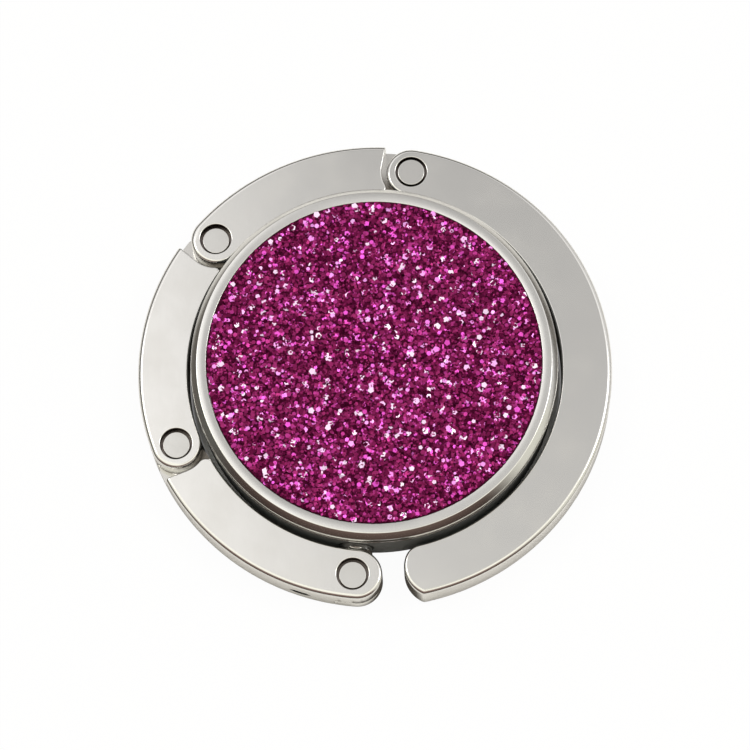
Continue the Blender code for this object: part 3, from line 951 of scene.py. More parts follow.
def turned(name: str, profile: Profile, centre: Vector, steps: int) -> Piece:
    """Turn a closed solid from a profile that runs between two flat ends.

    Args:
        name: The piece's name.
        profile: (radius, height) of each ring, from one end's rim to the other's.
        centre: The point of the axis at height 0.
        steps: The number of faces round it.

    Returns:
        The closed piece.
    """
    first_radius, first_height = profile[0]
    start = centre + Vector((0, 0, first_height))
    piece = Piece.from_circle(name, first_radius, start, steps)
    with piece.editing():
        piece.fill()
        piece.pick(Pick.EDGE, lambda spot: True)
        piece.loft(profile, centre)
        piece.cap()
        piece.face_outwards()
    return piece


def quarter_round(middle: Span, radius: float, start_deg: float, end_deg: float, steps: int = 5) -> Profile:
    """Round a corner of a profile.

    Args:
        middle: The (radius, height) of the arc's centre.
        radius: The arc's radius.
        start_deg: Where the arc starts.
        end_deg: Where it ends.
        steps: The number of its edges.

    Returns:
        The points of the arc.
    """
    points = []
    for step in range(steps + 1):
        angle = math.radians(start_deg + (end_deg - start_deg) * step / steps)
        points.append((middle[0] + radius * math.cos(angle), middle[1] + radius * math.sin(angle)))
    return points


# Sub-assemblies

@dataclass
class Ring:
    """The ring of links: the sizes that its pieces share, read from the frame."""

    link_width: float = 4.75 * MM
    lap_gap: float = 0.12 * MM
    tongue_height: float = 1.63 * MM
    shoulder_gap: float = 0.48 * MM
    stop_deg: float = 47.0
    shank: float = 1.0 * MM
    shank_bore: float = 1.06 * MM
    seat_bore: float = 1.03 * MM
    head_bore: float = 1.5 * MM
    bore_floor: float = 2.55 * MM
    seat_gap: float = 0.05 * MM
    bore_steps: int = 64
    neck_notch: float = 3.2 * MM
    joint_names: tuple[str, ...] = ("link_a_pivot", "link_b_pivot", "link_c_pivot", "hook_pivot")
    pins: list[Vector] = field(init=False)
    height: float = field(init=False)
    swivel_height: float = field(init=False)

    def __post_init__(self) -> None:
        """Read the pins' places, the links' height and the swivel's height."""
        places = {joint["name"]: joint["pos_m"] for joint in frame["joints"]}
        self.pins = [Vector((places[name][0], places[name][1], 0)) for name in self.joint_names]
        self.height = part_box("link_b")[1].z
        self.swivel_height = places["neck_swivel"][2]

    @property
    def neck_deg(self) -> float:
        """Return the neck's angle round the pad."""
        return angle_of(self.pins[0])

    @property
    def hinge_circle(self) -> float:
        """Return the radius of the circle through the pins."""
        return self.pins[0].length

    @property
    def outer(self) -> float:
        """Return the ring's outer radius."""
        return self.hinge_circle + self.link_width / 2

    @property
    def inner(self) -> float:
        """Return the ring's inner radius."""
        return self.hinge_circle - self.link_width / 2

    @property
    def end_radius(self) -> float:
        """Return the radius of the links' round ends."""
        return self.link_width / 2

    @property
    def lobe_bottom(self) -> float:
        """Return the height of a lobe's underside."""
        return self.tongue_height + self.lap_gap

    @property
    def lower_shoulder(self) -> float:
        """Return the radius, about the pin, of the shoulder under a lobe."""
        return self.end_radius / math.cos(math.radians(self.stop_deg / 2))

    @property
    def upper_shoulder(self) -> float:
        """Return the radius, about the pin, of the shoulder above a tongue."""
        return self.end_radius + self.shoulder_gap

    def shifted_deg(self, angle_deg: float, reach: float) -> float:
        """Return an angle moved on along the circle through the pins by a length."""
        return angle_deg + math.degrees(reach / self.hinge_circle)

    def crossing_deg(self, rim: float, radius: float) -> float:
        """Return how far round the ring from a pin a circle about it meets a rim."""
        cosine = (self.hinge_circle**2 + rim**2 - radius**2) / (2 * self.hinge_circle * rim)
        return math.degrees(math.acos(cosine))

    def bore_seat(self, piece: Piece, pin: Vector) -> None:
        """Bore a tongue for the foot of its pin."""
        profile = [(self.seat_bore, -OVERRUN), (self.seat_bore, self.lobe_bottom + self.lap_gap)]
        piece.cut(turned("seat_cutter", profile, pin, self.bore_steps))


@dataclass
class Casting:
    """One piece of the ring, as a plated casting that is rolled, cut, eased and bored."""

    node: str
    body: str
    ring: Ring
    start_pin: int
    rim_step: float = 0.5 * MM
    end_step: float = 0.25 * MM
    clear_step: float = 0.45 * MM
    roll: float = 0.5 * MM
    top_rolls: Span = (0.2 * MM, 0.46 * MM)
    roll_segments: int = 6
    lap_round: float = 0.08 * MM
    lap_segments: int = 2
    mouth_round: float = 0.09 * MM
    mouth_end_deg: float = 92.0
    flat_deg: float = 0.1
    lobe_reach: float = 0.0

    @property
    def start(self) -> Vector:
        """Return the place of the pin at the casting's round lobe."""
        return self.ring.pins[self.start_pin]

    @property
    def start_deg(self) -> float:
        """Return that pin's angle round the ring."""
        return angle_of(self.start)

    @property
    def plate_height(self) -> float:
        """Return the height of the plate that the casting is cut from."""
        return self.ring.height

    def arc_steps(self, radius: float) -> int:
        """Return how many steps a full circle takes, in fours, so that it has a point every 90 degrees."""
        return 4 * math.ceil(math.tau * radius / self.end_step / 4)

    def far_end(self) -> tuple[Vector, Vector]:
        """Return where the far end's outline leaves the outer rim and meets the inner rim."""
        raise NotImplementedError

    def draw_far_end(self, piece: Piece) -> None:
        """Draw the far end's outline."""
        raise NotImplementedError

    def draw_plate(self) -> Piece:
        """Draw the outline round both ends and pull it up into a plate.

        Returns:
            The plate.
        """
        ring = self.ring
        lobe_deg = ring.shifted_deg(self.start_deg, self.lobe_reach)
        middle = around(ring.hinge_circle, lobe_deg)
        outer_end, inner_end = self.far_end()
        ahead = around(1.0, lobe_deg + 90)
        steps = self.arc_steps(ring.end_radius)
        piece = Piece.from_circle(f"{self.node}_casting", ring.end_radius, middle, steps, lobe_deg)
        with piece.editing():
            piece.pick(Pick.VERTEX, lambda spot: (spot - middle).dot(ahead) < -LITTLE)
            bpy.ops.mesh.delete(type="VERT")
            for rim, goal in ((ring.outer, outer_end), (ring.inner, inner_end)):
                spot, way_deg = around(rim, lobe_deg), lobe_deg
                for stop_deg in (*self.rim_stops(rim), angle_of(goal)):
                    turn = (way_deg - stop_deg) % 360
                    long_step = ring.link_width if stop_deg in self.clear_stops(rim) else self.rim_step
                    spot = piece.draw_arc(spot, CENTRE, -turn, long_step)
                    way_deg = stop_deg
            self.draw_far_end(piece)
            piece.join_doubles()
            piece.fill()
            piece.pull_up(self.plate_height)
            piece.face_outwards()
        return piece

    def rim_stops(self, rim: float) -> tuple[float, ...]:
        """Return the angles at which a rim has a point on both sides of a later cut."""
        low, high = self.step_span(rim)
        return (low, high)

    def clear_stops(self, rim: float) -> tuple[float, ...]:
        """Return those of the angles that one straight step leads to."""
        return self.rim_stops(rim)[1::2]

    @property
    def step_reach(self) -> float:
        """Return the radius of the step under the lobe, about the pin."""
        ring = self.ring
        return max(ring.lower_shoulder, ring.end_radius + self.lobe_reach + 2 * LITTLE)

    def step_span(self, rim: float) -> Span:
        """Find where the step under the lobe meets a rim.

        Args:
            rim: The rim's radius.

        Returns:
            The angles a little before that place and a little after it.
        """
        crossing = self.start_deg - self.ring.crossing_deg(rim, self.step_reach)
        spare = math.degrees(self.clear_step / rim)
        return crossing + spare, crossing - spare

    def roll_share(self, spot: Vector) -> float:
        """Find how far an edge of the plate is rolled off.

        Args:
            spot: A place on the edge.

        Returns:
            The share of the roll: 1 below, and less above, least at the inner rim.
        """
        if near(spot.z, 0):
            return 1.0
        inner, outer = self.top_rolls
        way = (spot.xy.length - self.ring.inner) / self.ring.link_width
        return (inner + (outer - inner) * min(max(way, 0.0), 1.0)) / self.roll

    def roll_rims(self, piece: Piece) -> None:
        """Roll off the plate's top and bottom outlines."""
        piece.roll_outline(self.roll, self.roll_share, self.roll_segments)

    def is_in_recess_shade(self, spot: Vector) -> bool:
        """Tell whether the plating is darkened with painted shade at a place.

        Args:
            spot: The place.

        Returns:
            Whether it lies deep in the lobe's bore.
        """
        ring = self.ring
        in_bore = (spot.xy - self.start.xy).length < ring.head_bore + self.mouth_round / 2
        return in_bore and spot.z < ring.height - self.mouth_round / 4

    def cut_step(self, piece: Piece) -> None:
        """Cut the step under the lobe, over the tongue of the piece before.

        Args:
            piece: The plate.
        """
        reach = self.step_reach
        profile = [(reach, -OVERRUN), (reach, self.ring.lobe_bottom)]
        piece.cut(turned("step_cutter", profile, self.start, self.arc_steps(reach)))

    def clean(self, piece: Piece) -> None:
        """Merge doubled points and flat faces.

        Args:
            piece: The casting.
        """
        with piece.editing():
            piece.join_doubles()
            piece.pick_all()
            bpy.ops.mesh.dissolve_limited(angle_limit=math.radians(self.flat_deg))

    def ease_lap(self, piece: Piece) -> None:
        """Round the lobe's lower edge a little.

        Args:
            piece: The casting.
        """
        ring = self.ring
        clear = self.step_reach - self.lap_round
        with piece.editing():
            piece.pick_ridges(
                lambda spot: near(spot.z, ring.lobe_bottom) and (spot.xy - self.start.xy).length < clear
            )
            piece.round_picked(self.lap_round, self.lap_segments)

    def bore_lobe(self, piece: Piece) -> None:
        """Bore the lobe for the pin's head and shank, with a rounded mouth.

        Args:
            piece: The casting.
        """
        ring = self.ring
        mouth = self.mouth_round
        bottom = ring.tongue_height - OVERRUN / 4
        profile = [(ring.shank_bore, bottom), (ring.shank_bore, ring.bore_floor)]
        profile.append((ring.head_bore, ring.bore_floor))
        profile += quarter_round(
            (ring.head_bore + mouth, ring.height - mouth), mouth, 180, self.mouth_end_deg
        )
        profile.append((profile[-1][0], ring.height + OVERRUN))
        piece.cut(turned("bore_cutter", profile, self.start, ring.bore_steps))

    def build(self) -> Piece:
        """Shape the whole casting."""
        raise NotImplementedError

    def make(self, finish: Finish) -> None:
        """Shape the casting and plate it.

        Args:
            finish: The plating.
        """
        piece = self.build()
        # Painted shade: mark the deep bores and the slit's floor, where the plating is darkened
        piece.mark(NickelPlate.recess, self.is_in_recess_shade)
        piece.smooth()
        piece.dress(finish, self.body, "nickel_plate", self.node)


@dataclass
class ShortLink(Casting):
    """A short link, with a lobe over one pin and a tongue under the next."""

    inner_corner: float = 0.45 * MM
    shoulder_round: float = 0.14 * MM
    tongue_round: float = 0.2 * MM
    round_segments: int = 3
    has_neck_notch: bool = False
    has_slit: bool = False
    slit_deg: float = 257.7
    slit_length: float = 2.2 * MM
    slit_height: float = 0.75 * MM
    slit_depth: float = 0.9 * MM
    slit_sides: int = 6

    @property
    def end(self) -> Vector:
        """Return the place of the pin through the tongue."""
        return self.ring.pins[self.start_pin + 1]

    @property
    def end_deg(self) -> float:
        """Return that pin's angle round the ring."""
        return angle_of(self.end)

    def far_end(self) -> tuple[Vector, Vector]:
        """Return where the tongue's arc leaves the outer rim and meets the inner rim."""
        return around(self.ring.outer, self.end_deg), around(self.ring.inner, self.end_deg)

    def draw_far_end(self, piece: Piece) -> None:
        """Draw the tongue's round end."""
        piece.draw_arc(self.far_end()[0], self.end, -180, self.end_step)

    @property
    def fillet_centre(self) -> Vector:
        """Find the rounding between the shoulder's arc and the inner rim.

        Returns:
            The centre of it.
        """
        ring = self.ring
        rim = ring.inner + self.inner_corner
        reach = ring.upper_shoulder + self.inner_corner
        return around(rim, self.end_deg + ring.crossing_deg(rim, reach))

    def draw_shoulder(self) -> Piece:
        """Draw what is taken away above the tongue, and pull it up.

        Returns:
            The cutter.
        """
        ring = self.ring
        pin = self.end
        reach = ring.upper_shoulder
        out = around(1.0, self.end_deg)
        back = around(1.0, self.end_deg + 90)
        middle = self.fillet_centre
        bow_start = pin + back * reach
        bow_end = pin + (middle - pin).normalized() * reach
        rim_end = around(ring.inner, angle_of(middle))
        bow_turn = math.degrees((bow_start - pin).angle(bow_end - pin))
        fillet_turn = math.degrees((bow_end - middle).angle(rim_end - middle))
        far = out * (ring.end_radius + OVERRUN)
        past_end = -back * 4 * reach
        floor = Vector((0, 0, ring.tongue_height))
        piece = Piece.from_circle("shoulder_cutter", reach, pin, 4, self.end_deg)
        with piece.editing():
            piece.pick(Pick.VERTEX, lambda spot: (spot - pin).dot(back) < LITTLE)
            bpy.ops.mesh.delete(type="VERT")
            piece.draw_arc(bow_start, pin, bow_turn, self.end_step)
            piece.draw_arc(bow_end, middle, -fillet_turn, self.end_step / 2)
            edge = piece.draw_line(rim_end, -out * OVERRUN)
            edge = piece.draw_line(edge, past_end)
            edge = piece.draw_line(edge, far + out * (ring.link_width + OVERRUN))
            piece.draw_line(bow_start, far)
            piece.pick(Pick.VERTEX, lambda spot: (spot - pin).dot(out) > ring.end_radius)
            piece.cap()
            piece.join_doubles()
            piece.fill()
            bpy.ops.transform.translate(value=floor)
            piece.pull_up(ring.height)
            piece.face_outwards()
        return piece

    def rim_stops(self, rim: float) -> tuple[float, ...]:
        """Find where a rim has a point on both sides of a later cut.

        Args:
            rim: The rim's radius.

        Returns:
            The angles round the ring, from the lobe to the tongue.
        """
        ring = self.ring
        spare = math.degrees(self.clear_step / rim)
        if near(rim, ring.outer):
            low = high = self.end_deg + math.degrees(math.asin(ring.upper_shoulder / ring.outer))
        else:
            high = angle_of(self.fillet_centre)
            low = high - math.degrees(self.inner_corner / rim)
        return (*super().rim_stops(rim), high + spare, low - spare)

    def is_on_wall(self, spot: Vector) -> bool:
        """Tell whether a place lies on the wall of the shoulder.

        Args:
            spot: The place.

        Returns:
            Whether it lies on the wall's straight part, on its bow or on its rounding.
        """
        offset = spot - self.end
        out = around(1.0, self.end_deg)
        back = around(1.0, self.end_deg + 90)
        reach = self.ring.upper_shoulder
        on_line = offset.dot(out) > -LITTLE and near(offset.dot(back), reach, TOUCH)
        on_bow = near(offset.xy.length, reach, TOUCH)
        on_fillet = near((spot.xy - self.fillet_centre.xy).length, self.inner_corner, TOUCH)
        return on_line or on_bow or on_fillet

    def is_on_open_edge(self, spot: Vector) -> bool:
        """Tell whether a place lies where the shoulder's edge is eased.

        Args:
            spot: The place.

        Returns:
            Whether it lies on the shoulder's wall, and not where that runs into the inner rim.
        """
        ring = self.ring
        outside = (spot - self.end).dot(around(1.0, self.end_deg)) > 0
        free = near(spot.z, ring.height) or (outside and spot.z > ring.tongue_height - LITTLE)
        return free and self.is_on_wall(spot)

    def ease_shoulder(self, piece: Piece) -> None:
        """Round the shoulder's edge, and then the tongue's, clear of the shoulder's foot.

        Args:
            piece: The link.
        """
        ring = self.ring
        clear = ring.upper_shoulder - self.tongue_round
        with piece.editing():
            piece.pick_ridges(self.is_on_open_edge)
            piece.round_picked(self.shoulder_round, self.round_segments)
            piece.pick_ridges(
                lambda spot: near(spot.z, ring.tongue_height) and (spot.xy - self.end.xy).length < clear
            )
            piece.round_picked(self.tongue_round, self.round_segments)

    def notch_for_neck(self, piece: Piece) -> None:
        """Notch the inner rim under the lobe, where the neck's stem passes.

        Args:
            piece: The link.
        """
        ring = self.ring
        low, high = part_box("swivel_neck")
        overhang = ring.end_radius - ring.neck_notch / 2
        width = high.x - low.x - 2 * overhang
        size = Vector((ring.end_radius + OVERRUN, width, ring.lobe_bottom + OVERRUN))
        place = around(ring.hinge_circle - size.x / 2, self.start_deg, (ring.lobe_bottom - OVERRUN) / 2)
        piece.cut(Piece.from_block("notch_cutter", size, place, self.start_deg))

    def cut_slit(self, piece: Piece) -> None:
        """Cut the small slit in the outer wall, pointed at both ends.

        Args:
            piece: The link.
        """
        ring = self.ring
        floor = Vector((0, 0, ring.outer - self.slit_depth))
        share = self.slit_height / self.slit_length / math.cos(math.pi / self.slit_sides)
        slit = Piece.from_circle("slit_cutter", self.slit_length / 2, floor, self.slit_sides)
        with slit.editing():
            slit.fill()
            bpy.ops.transform.resize(value=(share, 1, 1), center_override=floor)
            slit.pull_up(self.slit_depth + OVERRUN)
            slit.face_outwards()
        slit.lay_out(self.slit_deg, ring.height / 2)
        piece.cut(slit)

    def is_in_recess_shade(self, spot: Vector) -> bool:
        """Tell whether the plating is darkened with painted shade at a place.

        Args:
            spot: The place.

        Returns:
            Whether it lies deep in the lobe's bore or on the slit's floor.
        """
        ring = self.ring
        depth = ring.outer - spot.dot(around(1.0, self.slit_deg))
        in_slit = near(depth, self.slit_depth, TOUCH) and near(spot.z, ring.height / 2, self.slit_height)
        return super().is_in_recess_shade(spot) or (self.has_slit and in_slit)

    def build(self) -> Piece:
        """Shape the whole link.

        Returns:
            The link.
        """
        piece = self.draw_plate()
        self.roll_rims(piece)
        self.cut_step(piece)
        piece.cut(self.draw_shoulder())
        self.clean(piece)
        self.ease_lap(piece)
        self.ease_shoulder(piece)
        self.bore_lobe(piece)
        self.ring.bore_seat(piece, self.end)
        if self.has_slit:
            self.cut_slit(piece)
        if self.has_neck_notch:
            self.notch_for_neck(piece)
        return piece


@dataclass
class HookArm(Casting):
    """The long arm with the blunt curved tip."""

    tip_radius: float = 2.95 * MM
    tip_gap: float = 2.5 * MM
    tip_rounds: Span = (0.5 * MM, 1.7 * MM)
    keeper_bore: float = 1.13 * MM
    keeper_slack: float = 0.045 * MM

    def tip_middle(self) -> Vector:
        """Place the tip's arc by the gap that it leaves to the first link.

        Returns:
            The arc's centre.
        """
        ring = self.ring
        way = ring.end_radius + self.tip_gap + self.tip_radius
        return around(ring.hinge_circle, ring.shifted_deg(ring.neck_deg, way))

    def corner_centres(self) -> tuple[Vector, Vector]:
        """Find the roundings from the tip's arc to the outer and the inner rim.

        Returns:
            The two roundings' centres.
        """
        ring = self.ring
        outer_round, inner_round = self.tip_rounds
        centres = []
        for rim, corner in ((ring.outer - outer_round, outer_round), (ring.inner + inner_round, inner_round)):
            turn = ring.crossing_deg(rim, self.tip_radius - corner)
            centres.append(around(rim, angle_of(self.tip_middle()) - turn))
        return centres[0], centres[1]

    def far_end(self) -> tuple[Vector, Vector]:
        """Return where the tip's outline leaves the outer rim and meets the inner rim."""
        outer_deg, inner_deg = (angle_of(corner) for corner in self.corner_centres())
        return around(self.ring.outer, outer_deg), around(self.ring.inner, inner_deg)

    def draw_far_end(self, piece: Piece) -> None:
        """Draw the tip's arc and the roundings of its corners.

        Args:
            piece: The open outline.
        """
        outer, inner = self.far_end()
        middle = self.tip_middle()
        corners = self.corner_centres()
        meetings = [middle + (corner - middle).normalized() * self.tip_radius for corner in corners]
        starts = (outer, meetings[0], meetings[1])
        goals = (meetings[0], meetings[1], inner)
        for start, centre, goal in zip(starts, (corners[0], middle, corners[1]), goals):
            sweep = (angle_of(start - centre) - angle_of(goal - centre)) % 360
            piece.draw_arc(start, centre, -sweep, self.end_step)

    def bore_for_keeper(self, piece: Piece) -> None:
        """Bore the inner rim near the tip for the steel keeper.

        Args:
            piece: The arm.
        """
        ring = self.ring
        low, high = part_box("tip_keeper")
        middle = (low + high) / 2
        start = ring.inner - OVERRUN
        depth = 2 * (middle.xy.length - ring.inner) + OVERRUN + self.keeper_slack
        profile = [(self.keeper_bore, start), (self.keeper_bore, start + depth)]
        bore = turned("keeper_cutter", profile, CENTRE, ring.bore_steps)
        bore.lay_out(angle_of(middle), middle.z)
        piece.cut(bore)

    def build(self) -> Piece:
        """Shape the whole arm.

        Returns:
            The arm.
        """
        piece = self.draw_plate()
        self.roll_rims(piece)
        self.cut_step(piece)
        self.clean(piece)
        self.ease_lap(piece)
        self.bore_lobe(piece)
        self.bore_for_keeper(piece)
        return piece


@dataclass
class NeckTongue(Casting):
    """The neck's tongue, flush under the first link's lobe, with a heel that reaches to its step."""

    heel_gap: float = 0.04 * MM
    top_round: float = 0.05 * MM
    top_segments: int = 2

    @property
    def plate_height(self) -> float:
        """Return the tongue's height."""
        return self.ring.tongue_height

    @property
    def heel(self) -> float:
        """Return the radius of the heel's end, about the pin."""
        return self.step_reach - self.heel_gap

    def rim_stops(self, rim: float) -> tuple[float, ...]:
        """Return no angles, because nothing is cut across the rims."""
        return ()

    def far_end(self) -> tuple[Vector, Vector]:
        """Find the heel's arc.

        Returns:
            Where it leaves the outer rim and where it meets the inner rim.
        """
        ring = self.ring
        outer_deg = self.start_deg - ring.crossing_deg(ring.outer, self.heel)
        inner_deg = self.start_deg - ring.crossing_deg(ring.inner, self.heel)
        return around(ring.outer, outer_deg), around(ring.inner, inner_deg)

    def draw_far_end(self, piece: Piece) -> None:
        """Draw the heel's arc.

        Args:
            piece: The open outline.
        """
        outer, inner = self.far_end()
        sweep = (angle_of(outer - self.start) - angle_of(inner - self.start)) % 360
        piece.draw_arc(outer, self.start, -sweep, self.end_step)

    def build(self) -> Piece:
        """Shape the tongue, with soft lower edges.

        Returns:
            The tongue.
        """
        piece = self.draw_plate()
        with piece.editing():
            piece.pick(Pick.EDGE, lambda spot: near(spot.z, 0))
            piece.round_picked(self.roll, self.roll_segments)
            piece.pick(Pick.EDGE, lambda spot: near(spot.z, self.plate_height))
            piece.round_picked(self.top_round, self.top_segments)
        return piece


@dataclass
class HingePin:
    """A headed pin, pressed into the tongue under it."""

    number: int
    body: str
    ring: Ring
    edge_round: float = 0.09 * MM
    head_slack: float = 0.045 * MM
    steps: int = 64

    def make(self, finish: Finish) -> None:
        """Turn the pin and plate it.

        Args:
            finish: The plating.
        """
        ring = self.ring
        node = f"hinge_pin_{self.number}"
        low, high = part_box(node)
        edge = self.edge_round
        head = (high.x - low.x) / 2 - self.head_slack
        top = high.z
        profile = [(ring.shank - edge, low.z), (ring.shank, low.z + edge)]
        profile += [(ring.shank, ring.bore_floor + ring.seat_gap), (head, ring.bore_floor + ring.seat_gap)]
        profile += quarter_round((head - edge, top - edge), edge, 0, 90)
        piece = turned(f"pin_{self.number}_turning", profile, ring.pins[self.number - 1], self.steps)
        piece.smooth()
        piece.dress(finish, self.body, "nickel_plate", node)


@dataclass
class SwivelNeck:
    """The neck: a turned barrel in the pad's rim, joined to the first tongue."""

    ring: Ring
    barrel: float = 1.5 * MM
    journal: float = 0.95 * MM
    groove: float = 0.65 * MM
    barrel_ends: Span = (16.3 * MM, 17.65 * MM)
    groove_ends: Span = (13.84 * MM, 14.32 * MM)
    journal_end: float = 13.18 * MM
    chamfer: float = 0.12 * MM
    stem_end: float = 17.3 * MM
    stem_round: float = 0.4 * MM
    stem_segments: int = 3
    tongue_reach: float = 0.4 * MM
    steps: int = 64

    def turn_barrel(self) -> Piece:
        """Turn the journal and the barrel, and lay them down on the swivel's axis.

        Returns:
            The turning.
        """
        inner, outer = self.barrel_ends
        profile = [(self.journal - self.chamfer, self.journal_end)]
        profile += [(self.journal, self.journal_end + self.chamfer), (self.journal, self.groove_ends[0])]
        profile += [(self.groove, self.groove_ends[0]), (self.groove, self.groove_ends[1])]
        profile += [(self.journal, self.groove_ends[1]), (self.journal, inner)]
        profile += [(self.barrel - self.chamfer, inner), (self.barrel, inner + self.chamfer)]
        profile += [(self.barrel, outer - self.chamfer), (self.barrel - self.chamfer, outer)]
        piece = turned("neck_turning", profile, CENTRE, self.steps)
        piece.lay_out(self.ring.neck_deg, self.ring.swivel_height)
        return piece

    def shape_stem(self) -> Piece:
        """Shape the stem between the barrel and the tongue, with soft long edges.

        Returns:
            The stem.
        """
        ring = self.ring
        length = ring.hinge_circle - self.stem_end
        size = Vector((length, 2 * self.barrel, ring.tongue_height))
        place = around(self.stem_end + length / 2, ring.neck_deg, ring.tongue_height / 2)
        stem = Piece.from_block("neck_stem", size, place, ring.neck_deg)
        with stem.editing():
            for side in (-1, 1):
                flank = around(side * self.barrel, ring.neck_deg + 90)
                stem.pick(Pick.EDGE, lambda spot: near(spot.x, flank.x) and near(spot.z, 0))
                stem.round_picked(self.stem_round, self.stem_segments)
        return stem

    def make(self, finish: Finish) -> None:
        """Build the neck and plate it.

        Args:
            finish: The plating.
        """
        ring = self.ring
        piece = self.turn_barrel()
        piece.weld(self.shape_stem())
        piece.weld(NeckTongue("neck_tongue", "neck", ring, 0, lobe_reach=self.tongue_reach).build())
        ring.bore_seat(piece, ring.pins[0])
        piece.smooth()
        piece.dress(finish, "neck", "nickel_plate", "swivel_neck")


@dataclass
class TablePad:
    """The shell of the pad: the rubber boot and the plated bezel tray."""

    ring: Ring
    steps: int = 192
    hole_steps: int = 48
    boot_wall: float = 0.9 * MM
    boot_floor: float = 0.6 * MM
    boot_hub_share: float = 0.5
    boot_round: float = 0.35 * MM
    mouth_round: float = 0.12 * MM
    neck_hole: float = 1.65 * MM
    tray_floor: float = 1.0 * MM
    tray_hub_share: float = 0.4
    lip_gap: float = 0.1 * MM
    lip_height: float = 0.35 * MM
    lip_round: float = 0.06 * MM
    lip_ledge: float = 0.02 * MM
    lip_edge_deg: float = 80.0
    lip_segments: int = 4
    slope_drop: float = 0.44 * MM
    slope_deg: float = 42.0
    slope_foot_deg: float = 4.0
    bezel_slope: float = 0.5 * MM
    insert_gap: float = 0.04 * MM
    bezel_shoulder: float = 0.14 * MM
    bezel_segments: int = 6
    bezel_inner_round: float = 0.06 * MM
    screw_count: int = 3
    screw_head: float = 1.5 * MM
    screw_shank: float = 0.9 * MM
    screw_sink: float = 0.1 * MM
    screw_cone: float = 0.66 * MM

    def make_boot(self, finish: Finish) -> None:
        """Turn the rubber boot, with its rounded foot and the neck's hole.

        Args:
            finish: The rubber.
        """
        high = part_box("rubber_boot")[1]
        rim, top = high.x, high.z
        inner = rim - self.boot_wall
        foot, mouth = self.boot_round, self.mouth_round
        profile = [(inner * self.boot_hub_share, self.boot_floor), (inner, self.boot_floor)]
        profile += quarter_round((inner + mouth, top - mouth), mouth, 180, 90)
        profile += quarter_round((rim - mouth, top - mouth), mouth, 90, 0)
        profile += quarter_round((rim - foot, foot), foot, 0, -90)
        profile.append((inner * self.boot_hub_share, 0))
        piece = turned("boot_moulding", profile, CENTRE, self.steps)
        start = (inner + rim) / 2 - self.boot_wall
        bore = [(self.neck_hole, start), (self.neck_hole, rim + OVERRUN)]
        hole = turned("neck_cutter", bore, CENTRE, self.hole_steps)
        hole.lay_out(self.ring.neck_deg, self.ring.swivel_height)
        piece.cut(hole)
        piece.smooth()
        piece.dress(finish, "pad", "dark_rubber", "rubber_boot")

    def make_tray(self, finish: Finish) -> None:
        """Turn the bezel tray, with its crowned bezel, its lip and its screw holes.

        Args:
            finish: The plating.
        """
        low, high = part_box("bezel_tray")
        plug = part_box("base_core")[1].x
        lip_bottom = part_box("rubber_boot")[1].z + self.lip_gap
        lip_top = lip_bottom + self.lip_height
        floor_top = low.z + self.tray_floor
        lip, top = high.x, high.z
        outer = lip - self.bezel_slope
        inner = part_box("glitter_sheet")[1].x + self.insert_gap
        small, shoulder, edge = self.bezel_inner_round, self.bezel_shoulder, self.lip_round
        profile = [(inner * self.tray_hub_share, floor_top), (inner, floor_top)]
        profile += quarter_round((inner + small, top - small), small, 180, 90)
        rim_middle = (outer - shoulder, top - shoulder)
        profile += quarter_round(rim_middle, shoulder, 90, self.slope_deg, self.bezel_segments)
        ledge, foot = lip - self.lip_ledge, top - self.slope_drop
        foot_middle = (ledge - shoulder, foot - shoulder)
        profile += quarter_round(foot_middle, shoulder, self.slope_deg, self.slope_foot_deg)
        profile.append((ledge, lip_top))
        lip_middles = (lip - edge, lip_top - edge), (lip - edge, lip_bottom + edge)
        profile += quarter_round(lip_middles[0], edge, self.lip_edge_deg, 0, self.lip_segments)
        profile += quarter_round(lip_middles[1], edge, 0, -90, self.lip_segments)
        profile += [(plug, lip_bottom), (plug, low.z), (inner * self.tray_hub_share, low.z)]
        piece = turned("bezel_turning", profile, CENTRE, self.steps)
        cone_top = floor_top - self.screw_sink
        for number in range(1, self.screw_count + 1):
            head_low, head_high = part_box(f"tray_screw_{number}")
            middle = (head_low + head_high) / 2
            place = Vector((middle.x, middle.y, 0))
            hole = [(self.screw_shank, low.z - OVERRUN), (self.screw_shank, cone_top - self.screw_cone)]
            hole += [(self.screw_head, cone_top), (self.screw_head, floor_top + OVERRUN / 2)]
            piece.cut(turned("screw_cutter", hole, place, self.hole_steps))
        piece.smooth()
        piece.dress(finish, "pad", "nickel_plate", "bezel_tray")


@dataclass(frozen=True)
class FlakeSort:
    """One sort of glitter flake: its number, its cut and its tints."""

    name: str
    count: int
    sides: int
    radius: float
    tints: Span
    thickness: float = 0.03 * MM
    sizes: Span = (0.7, 1.25)
    tilt_deg: float = 13.0

    def cut(self) -> tuple[list[Vector], list[tuple[int, ...]]]:
        """Cut one flake.

        Returns:
            Its points about its own middle, and its faces.
        """
        piece = Piece.from_circle("flake", self.radius, CENTRE, self.sides)
        with piece.editing():
            piece.fill()
            bpy.ops.transform.translate(value=(0, 0, -self.thickness / 2))
            piece.pull_up(self.thickness)
            piece.face_outwards()
        mesh = piece.obj.data
        points = [vertex.co.copy() for vertex in mesh.vertices]
        faces = [tuple(face.vertices) for face in mesh.polygons]
        bpy.data.objects.remove(piece.obj, do_unlink=True)
        return points, faces


